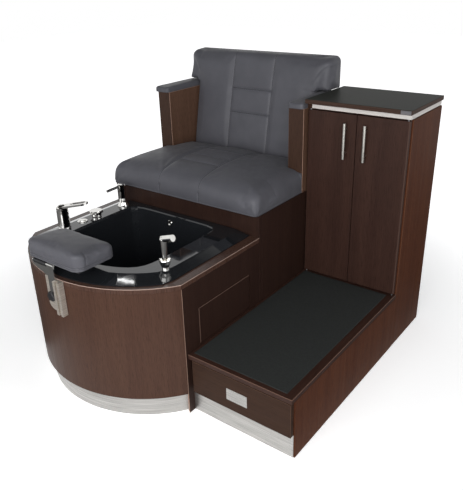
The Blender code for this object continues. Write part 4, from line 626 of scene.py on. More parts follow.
# ---------------------------------------------------------------- studio
@dataclass(frozen=True)
class SoftBox:
    """A rectangular lamp: its place and aim in the chair's frame, its width and depth in metres, its power in watts,
    and how far it is turned in its own plane, in degrees."""

    name: str
    place: Place
    aim: Place
    width: float
    depth: float
    watts: float
    turn: float = 0.0

    def build(self) -> None:
        """Adds the lamp."""
        data = bpy.data.lights.new(self.name, "AREA")
        data.shape = "RECTANGLE"
        data.size, data.size_y = self.width, self.depth
        data.energy = self.watts
        lamp = placed(self.name, data)
        lamp.location = chair(*self.place)
        way = chair(*self.aim) - lamp.location
        facing = way.to_track_quat("-Z", "Y") @ Quaternion((0.0, 0.0, 1.0), math.radians(self.turn))
        lamp.rotation_euler = facing.to_euler()


@dataclass
class Studio:
    """The camera, the floor and the soft lights: two large boxes in front, one to either side of the camera, a weak one
    to the right, and a strip whose reflection lies on the tub's flange."""

    camera_place: Place = (1.9112, -1.6573, 1.4319)
    yaw: float = math.radians(37.7399)
    pitch: float = math.radians(-24.9734)
    roll: float = math.radians(-1.6952)
    focal_px: float = 592.3427
    picture_height_px: float = 491.0
    sensor_mm: float = 36.0
    floor_half: float = 12.0
    floor_drop: float = 0.0005
    white_up_to: float = math.sin(math.radians(33))
    dark_from: float = math.sin(math.radians(41))
    ceiling: str = "262422"
    lamps: tuple[SoftBox, ...] = (
        SoftBox("front_box", (1.05, -3.15, 1.65), (0.5, 0.0, 0.5), 1.8, 1.8, 48),
        SoftBox("camera_box", (2.6, -2.5, 1.4), (0.5, 0.0, 0.5), 1.8, 1.8, 48),
        SoftBox("right_box", (3.4, 0.5, 2.2), (0.5, 0.0, 0.5), 1.6, 1.6, 12),
        SoftBox("ceiling_strip", (-1.206, 0.799, 2.575), (0.585, -0.53, 0.5315), 0.26, 0.026, 0.35, -27),
    )

    def build(self) -> None:
        """Sets the stage."""
        self.camera()
        self.floor()
        self.world()
        for lamp in self.lamps:
            lamp.build()
        bpy.context.scene.view_settings.view_transform = "Standard"

    def camera(self) -> None:
        """Puts the camera where the photograph was taken."""
        yaw, pitch = self.yaw, self.pitch
        ahead = Vector((-math.sin(yaw) * math.cos(pitch), math.cos(yaw) * math.cos(pitch), math.sin(pitch)))
        right = Vector((math.cos(yaw), math.sin(yaw), 0))
        up = right.cross(ahead)
        side = math.cos(self.roll) * right + math.sin(self.roll) * up
        top = -math.sin(self.roll) * right + math.cos(self.roll) * up
        lens = bpy.data.cameras.new("photo_camera")
        lens.sensor_width = self.sensor_mm
        lens.lens = self.focal_px * self.sensor_mm / self.picture_height_px
        lens.clip_end = 60
        holder = placed("photo_camera", lens)
        turn = Matrix((side, top, -ahead)).transposed().to_4x4()
        holder.matrix_world = Matrix.Translation(chair(*self.camera_place)) @ turn
        bpy.context.scene.camera = holder

    def floor(self) -> None:
        """Lays a wide sheet of pale paper under the chair."""
        mesh = bpy.data.meshes.new("studio_floor")
        half = self.floor_half
        corners = [(-half, -half, 0), (half, -half, 0), (half, half, 0), (-half, half, 0)]
        mesh.from_pydata(corners, [], [(0, 1, 2, 3)])
        mesh.materials.append(MATERIALS[PAPER])
        floor = placed("studio_floor", mesh)
        floor.location.z = -self.floor_drop

    def world(self) -> None:
        """A white surround for the camera and in reflections, with a dark ceiling in the latter, and a dimmer surround
        that lights the chair."""
        world = bpy.data.worlds.new("studio")
        bpy.context.scene.world = world
        world.use_nodes = True
        world.node_tree.nodes.clear()
        paint = Paint(world.node_tree)
        seen, polish = paint.seen()
        dim, white, ceiling = (
            paint.node("Background", {"Color": colour, "Strength": strength}).outputs[0]
            for colour, strength in (((0.95, 0.97, 1.0, 1.0), 0.20), (WHITE, 1.0), (self.ceiling, 1.0))
        )
        high = paint.ranged(paint.parts("Generated")[2], self.white_up_to, self.dark_from, curve="SMOOTHSTEP")
        above = paint.maths("MULTIPLY", high, polish)
        white = paint.node("MixShader", {0: above, 1: white, 2: ceiling}).outputs[0]
        both = paint.node("MixShader", {0: seen, 1: dim, 2: white}).outputs[0]
        paint.node("OutputWorld", {"Surface": both})


# ---------------------------------------------------------------- cushions
TINY = 1e-6
SEAM_REACH = (0.001, 0.003, 0.0065, 0.011)
EDGE_SHARES = (0.0, 0.02, 0.08, 0.18, 0.32, 0.50, 0.74, 1.0)
DOME_POWER = 2.4
FRAMES = 20
CLOTH = {
    "quality": 5,
    "mass": 0.3,
    "tension_stiffness": 18,
    "compression_stiffness": 12,
    "shear_stiffness": 6,
    "bending_stiffness": 0.8,
    "use_pressure": True,
    "uniform_pressure_force": 4.0,
    "vertex_group_mass": "held",
}


def graded(stops: list[float], most: float) -> list[float]:
    """Returns sorted grid lines through the stops, with more where they are further apart than most."""
    stops = sorted(stops)
    lines = []
    for first, second in zip(stops, stops[1:]):
        gap = second - first
        if gap >= TINY:
            count = max(1, math.ceil(gap / most - TINY))
            lines += [first + gap * index / count for index in range(count)]
    return lines + [stops[-1]]


def quarter_fall(distance: float, radius: float) -> float:
    """Returns how far an edge rounded to a radius has fallen at a distance inwards from the side."""
    if distance >= radius:
        return 0.0
    return radius - math.sqrt(max(0.0, radius**2 - (radius - distance) ** 2))


def domed(crown: float, across: float, along: float) -> float:
    """Returns a dome's height at a place, given as shares of the way from its middle to its sides."""
    return crown * (1 - across**DOME_POWER) * (1 - min(1.0, along) ** DOME_POWER)


def rounded(across: float, along: float, corner: float) -> Span:
    """Rounds a square corner.

    Args:
        across: How far past the corner's start a point lies in u.
        along: How far past it the point lies in v.
        corner: The corner's radius.

    Returns:
        How far the point moves in, in u and in v.
    """
    across, along = max(0.0, across), max(0.0, along)
    a, b = across / corner, along / corner
    return across * (1 - math.sqrt(1 - b * b / 2)), along * (1 - math.sqrt(1 - a * a / 2))


def eased(value: float, near: Place, most: float) -> float:
    """Rises smoothly with a distance.

    Args:
        value: The distance.
        near: The distance up to which the result is least, that from which it is most, and the least.
        most: The most.

    Returns:
        The eased value.
    """
    low, high, least = near
    share = min(1.0, max(0.0, (value - low) / (high - low)))
    return least + (most - least) * share * share * (3 - 2 * share)


@dataclass
class Seam:
    """A straight sewn seam in a cushion's plan."""

    start: Span
    end: Span
    depth: float = 0.0050
    width: float = 0.011

    def distance(self, u: float, v: float) -> float:
        """Returns how far a place in the plan is from the seam."""
        (au, av), (bu, bv) = self.start, self.end
        du, dv = bu - au, bv - av
        share = ((u - au) * du + (v - av) * dv) / (du * du + dv * dv)
        share = min(1.0, max(0.0, share))
        return math.hypot(u - au - share * du, v - av - share * dv)

    def sink(self, u: float, v: float) -> float:
        """Returns how far the seam pulls the cover in at a place in the plan."""
        return self.depth * (1 - min(1.0, self.distance(u, v) / self.width)) ** 2


@dataclass(frozen=True)
class Stitch:
    """One lockstitch of bonded thread, as it lies on a cover."""

    length: float = 0.0046
    gap: float = 0.0014
    offset: float = 0.0036
    thickness: float = 0.0011
    sides: int = 5
    # How closely a row is traced over the cover, from how far outside it, and the jump at which a row breaks off.
    step: float = 0.004
    outside: float = 0.4
    jump: float = 0.03
    # Where its rings lie along it, and how thick each is.
    rings: tuple[tuple[float, float], ...] = ((0.0, 0.45), (0.5, 1.0), (1.0, 0.45))

    def capsule(self, start: Vector, end: Vector, facing: Vector, points: list, faces: list) -> None:
        """Adds a stitch that dips into the cover at both ends.

        Args:
            start: Where the thread comes out.
            end: Where it goes in.
            facing: The way the cover faces.
            points: The mesh's points, added to.
            faces: The mesh's faces, added to.
        """
        along = (end - start).normalized()
        across = along.cross(facing).normalized()
        up = across.cross(along)
        first = len(points)
        for share, girth in self.rings:
            radius = self.thickness / 2 * girth
            centre = start.lerp(end, share) + up * (self.thickness / 2 * (girth - 0.75))
            for side in range(self.sides):
                angle = 2 * math.pi * side / self.sides
                points.append(centre + radius * (math.cos(angle) * across + math.sin(angle) * up))
        for ring in (first, first + self.sides):
            for side in range(self.sides):
                after = (side + 1) % self.sides
                faces.append((ring + side, ring + after, ring + self.sides + after, ring + self.sides + side))
        faces.append(tuple(first + side for side in reversed(range(self.sides))))
        faces.append(tuple(first + 2 * self.sides + side for side in range(self.sides)))


STITCH = Stitch()


@dataclass
class Sheet:
    """A cover while it is made: its points in plan and height, how much painted seam shade each has and how firmly it
    is held (0 to 1), and its faces."""

    points: list[Place] = field(default_factory=list)
    seam: list[float] = field(default_factory=list)
    hold: list[float] = field(default_factory=list)
    faces: list[Face] = field(default_factory=list)

    def add(self, point: Place, seam: float, hold: float) -> int:
        """Adds a point and returns its number."""
        self.points.append(point)
        self.seam.append(seam)
        self.hold.append(hold)
        return len(self.points) - 1

    def outline(self) -> list[int]:
        """Returns the points round the open edge of the faces, in order."""
        edges = dict.fromkeys(pair for face in self.faces for pair in zip(face, face[1:] + face[:1]))
        rim = [(first, second) for first, second in edges if (second, first) not in edges]
        before = {second: first for first, second in rim}
        loop = [rim[0][0]]
        while before[loop[-1]] != loop[0]:
            loop.append(before[loop[-1]])
        return loop


@dataclass
class Cushion:
    """A foam cushion in a sewn cover: a grid over its plan (u, v), lifted to height w, with walls and a flat foot."""

    name: str
    node: str
    body: str
    fill: float = 0.6
    cell: float = 0.008
    puff: float = 0.007
    edge: float = 0.030
    wall_rows: int = 7
    runs_down: float = 0.0
    seam_shade: float = 0.0032
    seam_hold: float = 0.010
    wall_hold: float = 0.15

    def lines(self) -> tuple[list[float], list[float]]:
        """Returns the plan's grid lines in u and in v."""
        raise NotImplementedError

    def inside(self, u: float, v: float) -> bool:
        """Returns whether a cell's middle is in the plan."""
        return True

    def height(self, u: float, v: float) -> float:
        """Returns the cover's height over the foot."""
        raise NotImplementedError

    def pull(self, u: float, v: float) -> Span:
        """Returns a grid point's place in the plan once the corners are rounded."""
        raise NotImplementedError

    def wall(self, u: float, v: float, share: float) -> Span:
        """Returns a wall point's place, at a share of the way down to the foot."""
        return u, v

    def wall_shares(self) -> list[float]:
        """Returns how far down the wall each row of it lies, from just under the top to the foot."""
        return [row / self.wall_rows for row in range(1, self.wall_rows + 1)]

    def creased(self, share: float) -> float:
        """Returns how much of a seam, and so of its painted shade, there is round the wall at a share of the way down.
        """
        return 0.0

    def border_seam(self, u: float, v: float) -> float:
        """Returns how much of an upright seam of the border, and so of its painted shade, there is at a place in the
        plan.
        """
        return 0.0

    def place(self, u: float, v: float, w: float) -> Vector:
        """Returns a point of the cushion in the row frame."""
        raise NotImplementedError

    def seams(self) -> list[Seam]:
        """Returns the seams in the cover."""
        return []

    def may_move(self, u: float, v: float, w: float) -> float:
        """Returns how far the stuffing may push the cover out at a point."""
        return self.puff

    def seam_stops(self, *places: float) -> list[float]:
        """Returns the grid lines that seams at some values need."""
        return [at + side * reach for at in places for side in (-1, 1) for reach in SEAM_REACH]

    def edge_stops(self, low: float, high: float) -> list[float]:
        """Returns the grid lines that two rounded edges need."""
        falls = [self.edge * share for share in EDGE_SHARES]
        return [low + each for each in falls] + [high - each for each in falls]

    def build(self) -> None:
        """Makes the cushion, stuffs it and puts it in place of its CAD node."""
        sheet = self.cover()
        mesh = self.mesh(sheet)
        made = placed(self.name, mesh)
        mesh.materials.append(MATERIALS[VINYL])
        mesh.shade_smooth()
        self.stuff(made, sheet.hold, [self.may_move(*each) for each in sheet.points])
        self.sew(made)
        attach(made, self.body)
        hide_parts(self.node)
        LOG.info("%s: %d faces", self.name, len(mesh.polygons))

    def cover(self) -> Sheet:
        """Builds the cover: the top over the grid's cells, the walls round it and the foot.

        Returns:
            The closed sheet.
        """
        us, vs = self.lines()
        seams = self.seams()
        cells = [
            (i, j)
            for i in range(len(us) - 1)
            for j in range(len(vs) - 1)
            if self.inside((us[i] + us[i + 1]) / 2, (vs[j] + vs[j + 1]) / 2)
        ]
        sheet = Sheet()
        top: dict[tuple[int, int], int] = {}
        for i, j in cells:
            square = ((i, j), (i + 1, j), (i + 1, j + 1), (i, j + 1))
            for spot in square:
                if spot not in top:
                    u, v = us[spot[0]], vs[spot[1]]
                    near = min((each.distance(u, v) for each in seams), default=1.0)
                    # How much painted shade each point gets from the seams near it.
                    seam = max(0.0, 1 - near / self.seam_shade, self.border_seam(u, v))
                    hold = max(0.0, min(1.0, 1.5 - near / self.seam_hold))
                    top[spot] = sheet.add((*self.pull(u, v), self.height(u, v)), seam, hold)
            sheet.faces.append(tuple(top[spot] for spot in square))
        loop = sheet.outline()
        rings = [loop]
        for row, share in enumerate(self.wall_shares(), 1):
            ring = []
            for number in loop:
                u, v, w = sheet.points[number]
                # The painted seam shade runs down the wall, and the welts' creases add their own.
                seam = max(sheet.seam[number] * self.runs_down, self.creased(share))
                hold = 1.0 if row == self.wall_rows else max(self.wall_hold, sheet.hold[number] * self.runs_down)
                ring.append(sheet.add((*self.wall(u, v, share), w * (1 - share)), seam, hold))
            rings.append(ring)
        for upper, lower in zip(rings, rings[1:]):
            for at in range(len(loop)):
                after = (at + 1) % len(loop)
                sheet.faces.append((upper[at], upper[after], lower[after], lower[at]))
        foot = dict(zip(loop, rings[-1]))
        for i, j in cells:
            square = [top[spot] for spot in ((i, j), (i, j + 1), (i + 1, j + 1), (i + 1, j))]
            for number in square:
                if number not in foot:
                    u, v, _ = sheet.points[number]
                    foot[number] = sheet.add((u, v, 0.0), 0.0, 1.0)
            sheet.faces.append(tuple(foot[number] for number in square))
        return sheet

    def mesh(self, sheet: Sheet) -> bpy.types.Mesh:
        """Returns the cover as a mesh whose "seam" attribute places the painted shade in its seams."""
        mesh = bpy.data.meshes.new(self.name)
        mesh.from_pydata([self.place(*each) for each in sheet.points], [], sheet.faces)
        mesh.attributes.new("seam", "FLOAT", "POINT").data.foreach_set("value", sheet.seam)
        mesh.validate()
        bm = bmesh.new()
        bm.from_mesh(mesh)
        bmesh.ops.recalc_face_normals(bm, faces=bm.faces)
        bm.to_mesh(mesh)
        bm.free()
        return mesh

    def rows(self) -> list[Row]:
        """Returns each row of stitches as points outside the cover and the ways in to it."""
        found = []
        for seam in self.seams():
            start, end = Vector(seam.start), Vector(seam.end)
            along = (end - start).normalized()
            across = Vector((-along[1], along[0])) * STITCH.offset
            steps = max(2, int((end - start).length / STITCH.step))
            for side in (-1, 1):
                row = []
                for step in range(steps + 1):
                    u, v = start + (end - start) * (step / steps) + side * across
                    above = self.place(u, v, STITCH.outside)
                    row.append((above, self.place(u, v, 0.0) - above))
                found.append(row)
        return found

    def sew(self, made: bpy.types.Object) -> None:
        """Lays two rows of stitches beside each seam, on the finished cover.

        Args:
            made: The cushion.
        """
        places = [point.co.copy() for point in made.data.vertices]
        cover = BVHTree.FromPolygons(places, [tuple(face.vertices) for face in made.data.polygons])
        points: list[Vector] = []
        faces: list[Face] = []
        for row in self.rows():
            hits = (cover.ray_cast(start, way) for start, way in row)
            self.stitch([(hit, facing) for hit, facing, _, _ in hits if hit is not None], points, faces)
        if not faces:
            return
        mesh = bpy.data.meshes.new(self.name + "_stitches")
        mesh.from_pydata(points, [], faces)
        mesh.materials.append(MATERIALS[THREAD])
        mesh.shade_smooth()
        thread = placed(mesh.name, mesh)
        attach(thread, self.body)
        LOG.info("%s: %d faces", mesh.name, len(faces))

    def stitch(self, line: Row, points: list[Vector], faces: list[Face]) -> None:
        """Adds the stitches of one row.

        Args:
            line: The row's places on the cover and the ways it faces there.
            points: The mesh's points, added to.
            faces: The mesh's faces, added to.
        """
        reached = 0.0
        due = STITCH.gap
        start = None
        for (first, facing), (second, _) in zip(line, line[1:]):
            length = (second - first).length
            if not TINY / 10 <= length <= STITCH.jump:
                start = None
                continue
            while due <= reached + length:
                place = first.lerp(second, (due - reached) / length)
                if start is None:
                    start = place
                    due += STITCH.length
                else:
                    STITCH.capsule(start, place, facing, points, faces)
                    start = None
                    due += STITCH.gap
            reached += length

    def stuff(self, made: bpy.types.Object, hold: list[float], room: list[float]) -> None:
        """Lets the stuffing's pressure swell the cover between its seams, as cloth.

        Args:
            made: The cushion.
            hold: How firmly each point is held.
            room: How far each point may move.
        """
        group = made.vertex_groups.new(name="held")
        for number, weight in enumerate(hold):
            group.add([number], weight, "REPLACE")
        cloth = made.modifiers.new("cover", "CLOTH")
        for setting, value in CLOTH.items():
            setattr(cloth.settings, setting, value)
        cloth.settings.effector_weights.gravity = 0.0
        cloth.collision_settings.use_collision = False
        scene = bpy.context.scene
        for frame in range(1, FRAMES + 1):
            scene.frame_set(frame)
        swollen = made.evaluated_get(bpy.context.evaluated_depsgraph_get()).data
        before, after = (np.empty(len(made.data.vertices) * 3, np.float32) for _ in range(2))
        swollen.vertices.foreach_get("co", after)
        made.data.vertices.foreach_get("co", before)
        made.modifiers.remove(cloth)
        scene.frame_set(1)
        before = before.reshape(-1, 3)
        move = after.reshape(-1, 3) - before
        far = np.linalg.norm(move, axis=1)
        most = np.array(room)
        soft = most * np.tanh(far / np.maximum(most, TINY))
        move *= (soft / np.maximum(far, 1e-9))[:, None]
        made.data.vertices.foreach_set("co", (before + move).astype(np.float32).ravel())
        made.data.update()
        LOG.info("%s swelled by up to %.1f mm", self.name, float(soft.max()) / MM)


@dataclass
class PanelCushion(Cushion):
    """A cushion that passes between the arms and widens over them, with a channelled panel between two long seams that
    run from low to high in v."""

    width: float = 0.760
    arm: float = 0.0695
    low: float = 0.0
    high: float = 1.0
    seam_offset: float = 0.104
    channels: tuple[float, ...] = ()
    lean: float = math.tan(math.radians(11.1))
    near_arm: Place = (0.004, 0.05, 0.0012)

    @property
    def middle(self) -> float:
        """The cushion's middle in u."""
        return self.width / 2

    def between(self, u: float, slack: float = 0.0) -> bool:
        """Returns whether a place is between the arms."""
        return self.arm + slack < u < self.width - self.arm - slack

    def long_stops(self) -> list[float]:
        """Returns the grid lines that the two long seams need."""
        return self.seam_stops(self.middle - self.seam_offset, self.middle + self.seam_offset)

    def seams(self) -> list[Seam]:
        """Returns two long seams and the channels between them."""
        left, right = self.middle - self.seam_offset, self.middle + self.seam_offset
        long = [Seam((x, self.low), (x, self.high)) for x in (left, right)]
        return long + [Seam((left, v), (right, v)) for v in self.channels]

    def room_near_arm(self, u: float, ahead: float) -> float:
        """Returns the room for the stuffing beside an arm, given how far clear of the arms' end a place is."""
        beside = max(0.0, min(u, self.width - u) - self.arm)
        return eased(math.hypot(beside, max(0.0, ahead)), self.near_arm, self.puff)


@dataclass
class SeatCushion(PanelCushion):
    """The T-shaped seat with a rolled front and a channelled middle panel: u runs across, v back, w up."""

    low: float = -0.016
    high: float = 0.440
    shoulder: float = 0.3035
    base: float = 0.6063
    side_height: float = 0.086
    crown: float = 0.036
    edge: float = 0.040
    corner: float = 0.022
    runs_down: float = 1.0
    channels: tuple[float, ...] = (0.118, 0.200, 0.300)
    roll_height: float = 0.004
    belly: float = 0.0015
    tuck: float = 0.003
    free: float = 0.03
    near_back: Place = (0.01, 0.06, 0.0015)

    def lines(self) -> tuple[list[float], list[float]]:
        """Returns the grid lines, with more at the edges and seams."""
        across = self.edge_stops(0.0, self.width) + [self.arm, self.width - self.arm] + self.long_stops()
        along = [each for each in self.edge_stops(self.low, self.high + self.edge) if each <= self.high]
        along += self.seam_stops(*self.channels)
        along = [each for each in along if abs(each - self.shoulder) > 0.0015] + [self.shoulder, self.high]
        return graded(across, self.cell), graded(along, self.cell)

    def inside(self, u: float, v: float) -> bool:
        """Returns whether a place is in the T."""
        return v < self.shoulder or self.between(u)

    def height(self, u: float, v: float) -> float:
        """Returns the crowned top, rounded at its free sides and drawn in at the seams."""
        side = min(u, self.width - u)
        if v >= self.shoulder - TINY:
            side = max(side, self.edge) if self.between(u, TINY) else self.edge * 0.5
        reach = abs(u - self.middle)
        ahead = abs(v - (self.low + self.high) / 2) / ((self.high - self.low) / 2)
        top = self.side_height + domed(self.crown, reach / self.middle, ahead)
        top -= quarter_fall(side, self.edge) + quarter_fall(v - self.low, self.edge)
        for each in self.seams():
            top -= each.sink(u, v) * min(1.0, 0.25 + (v - self.low) / self.edge)
        if reach < self.seam_offset:
            top += self.roll(v) * (1 - (reach / self.seam_offset) ** 4)
        return max(top, self.side_height * 0.25)

    def roll(self, v: float) -> float:
        """Returns how far the middle panel's foam rises between two channels."""
        stops = (self.channels[0] - 0.10, *self.channels, self.high + 0.02)
        for start, end in zip(stops, stops[1:]):
            if start < v < end:
                return self.roll_height * (1 - ((v - start) / (end - start) * 2 - 1) ** 2)
        return 0.0

    def pull(self, u: float, v: float) -> Span:
        """Rounds the two front corners and draws the sides in between them."""
        across = abs(u - self.middle) - (self.middle - self.corner)
        in_u, in_v = rounded(across, self.low + self.corner - v, self.corner)
        return u - math.copysign(in_u, u - self.middle), v + in_v

    def wall(self, u: float, v: float, share: float) -> Span:
        """Bellies the walls a little, and draws the front one in at the long seams."""
        belly = self.belly * math.sin(math.pi * share) - self.tuck * share**3
        if v < self.shoulder - TINY and min(u, self.width - u) < self.free:
            u += belly if u > self.middle else -belly
        if v < self.low + self.free:
            v += max(each.sink(u, v) for each in self.seams()[:2]) * (1 - share**4) - belly
        return u, v

    def rows(self) -> list[Row]:
        """Returns the rows of the top, and those of the two long seams down the front face."""
        found = super().rows()
        heights = [0.006 + 0.003 * step for step in range(20)]
        for seam in self.seams()[:2]:
            for side in (-1, 1):
                u = seam.start[0] + side * STITCH.offset
                found.append([(self.place(u, self.low - 0.2, w), Vector((0, 1, 0))) for w in heights])
        return found

    def place(self, u: float, v: float, w: float) -> Vector:
        """Returns a point of the seat in the row frame, leaning at its rear wall."""
        if v > self.high - 1e-4:
            v -= w * self.lean
        return chair(u, v, self.base + w)

    def may_move(self, u: float, v: float, w: float) -> float:
        """Returns the room for the stuffing: little beside the arms and the back."""
        return min(self.room_near_arm(u, self.shoulder - v), eased(self.high - v, self.near_back, self.puff))


@dataclass
class BackCushion(PanelCushion):
    """The leaning back with wings over the arms: u runs across, v up, and its depth out of a flat back."""

    low: float = 0.6063
    high: float = 1.102
    inset: float = 0.011
    notch: float = 0.973
    plane: float = 0.6115
    foot_depth: float = 0.1745
    crown: float = 0.012
    edge: float = 0.024
    corner: float = 0.024
    lower_corner: float = 0.010
    channels: tuple[float, ...] = (0.851, 0.953)
    near_seat: Place = (0.09, 0.17, 0.0015)
    near_foot: Place = (0.02, 0.06, 0.002)

    def lines(self) -> tuple[list[float], list[float]]:
        """Returns the grid lines, with more at the edges and seams."""
        across = self.edge_stops(self.inset, self.width - self.inset)
        across += self.edge_stops(self.arm, self.width - self.arm) + self.long_stops()
        across = [x for x in across if self.inset <= x <= self.width - self.inset]
        along = [x for x in self.edge_stops(self.low - self.edge, self.high) if x >= self.low] + [self.low]
        along += [self.notch + self.edge * share for share in EDGE_SHARES] + self.seam_stops(*self.channels)
        return graded(across, self.cell), graded(along, self.cell)

    def inside(self, u: float, v: float) -> bool:
        """Returns whether a place is in the back or its wings."""
        return v > self.notch or self.between(u)

    def height(self, u: float, v: float) -> float:
        """Returns the back's depth: less towards the top, rounded at its free sides."""
        if v > self.notch - TINY:
            side = min(u - self.inset, self.width - self.inset - u)
            if not self.between(u, -TINY):
                side = min(side, v - self.notch)
        else:
            side = min(u - self.arm, self.width - self.arm - u)
        depth = self.foot_depth - (v - self.low) * self.lean
        rise = abs(v - (self.low + self.high) / 2) / ((self.high - self.low) / 2 * 1.15)
        depth += domed(self.crown, abs(u - self.middle) / self.middle, rise)
        depth -= quarter_fall(max(side, 0.0), self.edge) + quarter_fall(self.high - v, self.edge)
        for each in self.seams():
            depth -= each.sink(u, v) * min(1.0, max(0.0, self.high - v) / self.edge)
        return depth

    def pull(self, u: float, v: float) -> Span:
        """Rounds the wings' upper and lower outer corners."""
        if v < self.notch - TINY:
            return u, v
        upper = v > (self.notch + self.high) / 2
        corner = self.corner if upper else self.lower_corner
        across = abs(u - self.middle) - (self.middle - self.inset - corner)
        up = max(v - (self.high - corner), self.notch + corner - v)
        in_u, in_v = rounded(across, up, corner)
        return u - math.copysign(in_u, u - self.middle), v - in_v if upper else v + in_v

    def place(self, u: float, v: float, w: float) -> Vector:
        """Returns a point of the back in the row frame."""
        return chair(u, self.plane - w, v)

    def may_move(self, u: float, v: float, w: float) -> float:
        """Returns the room for the stuffing: little beside the arms, the seat and the wings' edges."""
        room = min(self.room_near_arm(u, v - self.notch), eased(v - self.low, self.near_seat, self.puff))
        return min(room, eased(w, self.near_foot, self.puff))


@dataclass
class PadCushion(Cushion):
    """A rectangular pad with rounded corners, for the arms and the footrest."""

    low: Place = (0.0, 0.0, 0.0)
    high: Place = (1.0, 1.0, 1.0)
    crown: float = 0.010
    corner: float = 0.030
    wedge: float = 0.0
    welts: tuple[float, ...] = ()
    welt_depth: float = 0.0028
    welt_share: float = 0.035
    closing_seam: bool = False
    closing_past: float = 0.004
    closing_width: float = 0.005
    closing_depth: float = 0.0016
    closing_wall: float = 0.0014

    def __post_init__(self) -> None:
        """Works out the middle of the plan, and how far its sides are from it."""
        self.middle = [(low + high) / 2 for low, high in zip(self.low[:2], self.high)]
        self.half = [high - middle for high, middle in zip(self.high, self.middle)]

    def lines(self) -> tuple[list[float], list[float]]:
        """Returns the grid lines, with more at the edges, corners and the closing seam."""
        ways = []
        for low, high in zip(self.low[:2], self.high):
            ways.append(self.edge_stops(low, high) + [low + self.corner, high - self.corner])
        if self.closing_seam:
            ways[1] += self.seam_stops(self.low[1] + self.corner + self.closing_past)
        return graded(ways[0], self.cell), graded(ways[1], self.cell)

    def wall_shares(self) -> list[float]:
        """Returns the wall's rows, with more at each welt's crease."""
        shares = super().wall_shares()
        for welt in self.welts:
            shares = [each for each in shares if abs(each - welt) > 0.05 or each == 1.0]
            shares += [welt - self.welt_share, welt, welt + self.welt_share]
        return sorted(shares)

    def creased(self, share: float) -> float:
        """Returns the seam at a welt's crease: it draws the wall in and gets painted shade."""
        return max((max(0.0, 1 - abs(share - welt) / 0.03) for welt in self.welts), default=0.0)

    def border_seam(self, u: float, v: float) -> float:
        """Returns the closing seam's share near the pad's edge, which sets its painted shade."""
        return self.closes(u, v) if u > self.high[0] - self.edge * 0.7 else 0.0

    def closes(self, u: float, v: float) -> float:
        """Returns how near a place is to the upright seam that closes the border at the right: 1 on it, 0 off it."""
        if not self.closing_seam or u < self.high[0] - self.corner:
            return 0.0
        return max(0.0, 1 - abs(v - self.low[1] - self.corner - self.closing_past) / self.closing_width)

    def past_corner(self, u: float, v: float) -> Span:
        """Returns how far a place lies past the start of the corners in u and in v."""
        across = abs(u - self.middle[0]) - (self.half[0] - self.corner)
        return across, abs(v - self.middle[1]) - (self.half[1] - self.corner)

    def height(self, u: float, v: float) -> float:
        """Returns the crowned top, rounded along the pad's outline."""
        u, v = self.pull(u, v)
        half_u, half_v = (self.high[0] - self.low[0]) / 2, (self.high[1] - self.low[1]) / 2
        across, along = abs(u - (self.low[0] + half_u)), abs(v - (self.low[1] + half_v))
        rise = self.high[2] - self.low[2] - self.crown
        rise += domed(self.crown, across / half_u, along / half_v)
        rise += self.wedge * (self.low[1] + half_v - v) / half_v
        past_u, past_v = across - half_u + self.corner, along - half_v + self.corner
        beyond = math.hypot(max(past_u, 0.0), max(past_v, 0.0)) + min(max(past_u, past_v), 0.0)
        outward = max(0.0, self.corner - beyond)
        closed = self.closing_depth * self.closes(u, v) * max(0.0, 1 - outward / self.edge)
        return rise - quarter_fall(outward, self.edge) - closed

    def wall(self, u: float, v: float, share: float) -> Span:
        """Draws the sides in a little at each crease."""
        draw = self.welt_depth * self.creased(share) + self.closing_wall * self.closes(u, v) * (1 - share)
        (middle_u, middle_v), (half_u, half_v) = self.middle, self.half
        return u - draw * (u - middle_u) / half_u, v - draw * (v - middle_v) / half_v

    def pull(self, u: float, v: float) -> Span:
        """Rounds the four corners."""
        in_u, in_v = rounded(*self.past_corner(u, v), self.corner)
        return u - math.copysign(in_u, u - self.middle[0]), v - math.copysign(in_v, v - self.middle[1])

    def place(self, u: float, v: float, w: float) -> Vector:
        """Returns a point of the pad in the row frame."""
        return chair(u, v, self.low[2] + w)


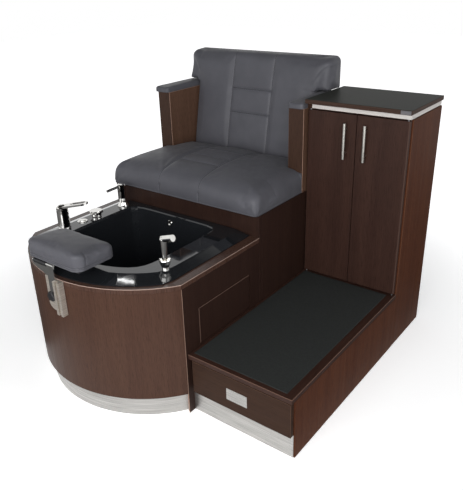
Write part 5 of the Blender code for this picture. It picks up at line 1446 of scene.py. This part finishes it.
@dataclass
class Upholstery:
    """All the cushions and pads."""

    arm_pads: tuple[tuple[str, float, float], ...] = (("left", -0.010, 0.068), ("right", 0.692, 0.760))

    def build(self) -> None:
        """Builds every cushion."""
        SeatCushion("seat_cushion_cover", "seat_cushion", "chair").build()
        BackCushion("back_cushion_cover", "back_cushion", "chair").build()
        for side, low, high in self.arm_pads:
            PadCushion(
                f"arm_pad_{side}_cover", f"arm_pad_{side}", "chair", fill=0.8, cell=0.006, puff=0.001, edge=0.008,
                low=(low, 0.295, 0.9433), high=(high, 0.600, 0.9683), crown=0.003, corner=0.014,
            ).build()
        PadCushion(
            "footrest_pad_cover", "footrest_cushion", "footrest_pad", fill=0.7, cell=0.006, puff=0.004, edge=0.014,
            low=(0.246, -0.646, 0.576), high=(0.514, -0.478, 0.6365), crown=0.011, wedge=0.009, corner=0.034,
            wall_rows=12, welts=(0.70, 0.84), closing_seam=True,
        ).build()


# ---------------------------------------------------------------- trim
@dataclass
class BareTrim:
    """The small bare plates on the drawer and on the slab's front edge."""

    plate_low: Place = (0.9228, -0.4323, 0.136)
    plate_high: Place = (1.0065, -0.4310, 0.181)
    tag_low: Place = (1.140, 0.3088, 0.9655)
    tag_high: Place = (1.178, 0.3100, 0.9795)
    edge: float = 0.0005

    def build(self) -> None:
        """Makes both plates."""
        self.plate("drawer_plate", self.plate_low, self.plate_high, ALUMINIUM, "drawer")
        self.plate("slab_plate", self.tag_low, self.tag_high, GUNMETAL, "chair")

    def plate(self, name: str, low: Place, high: Place, finish: str, body: str) -> None:
        """Makes one plate with a rolled edge.

        Args:
            name: The piece's name.
            low: Its low corner in the chair's frame.
            high: Its high corner.
            finish: Its finish.
            body: The body that it rides on.
        """
        mesh = bpy.data.meshes.new(name)
        bm = bmesh.new()
        bmesh.ops.create_cube(bm, size=1.0)
        size = Vector(high) - Vector(low)
        bmesh.ops.scale(bm, vec=size, verts=bm.verts)
        bmesh.ops.translate(bm, vec=chair(*low) + size / 2, verts=bm.verts)
        bmesh.ops.bevel(bm, geom=bm.edges, offset=self.edge, segments=2, affect="EDGES")
        bm.to_mesh(mesh)
        bm.free()
        mesh.materials.append(MATERIALS[finish])
        made = placed(name, mesh)
        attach(made, body)


def main() -> None:
    """Builds the studio and the chair's sub-assemblies in order."""
    logging.basicConfig(level=logging.INFO, format="%(name)s: %(message)s")
    dress_nodes()
    Studio().build()
    Upholstery().build()
    BareTrim().build()


if __name__ == "__main__":
    main()
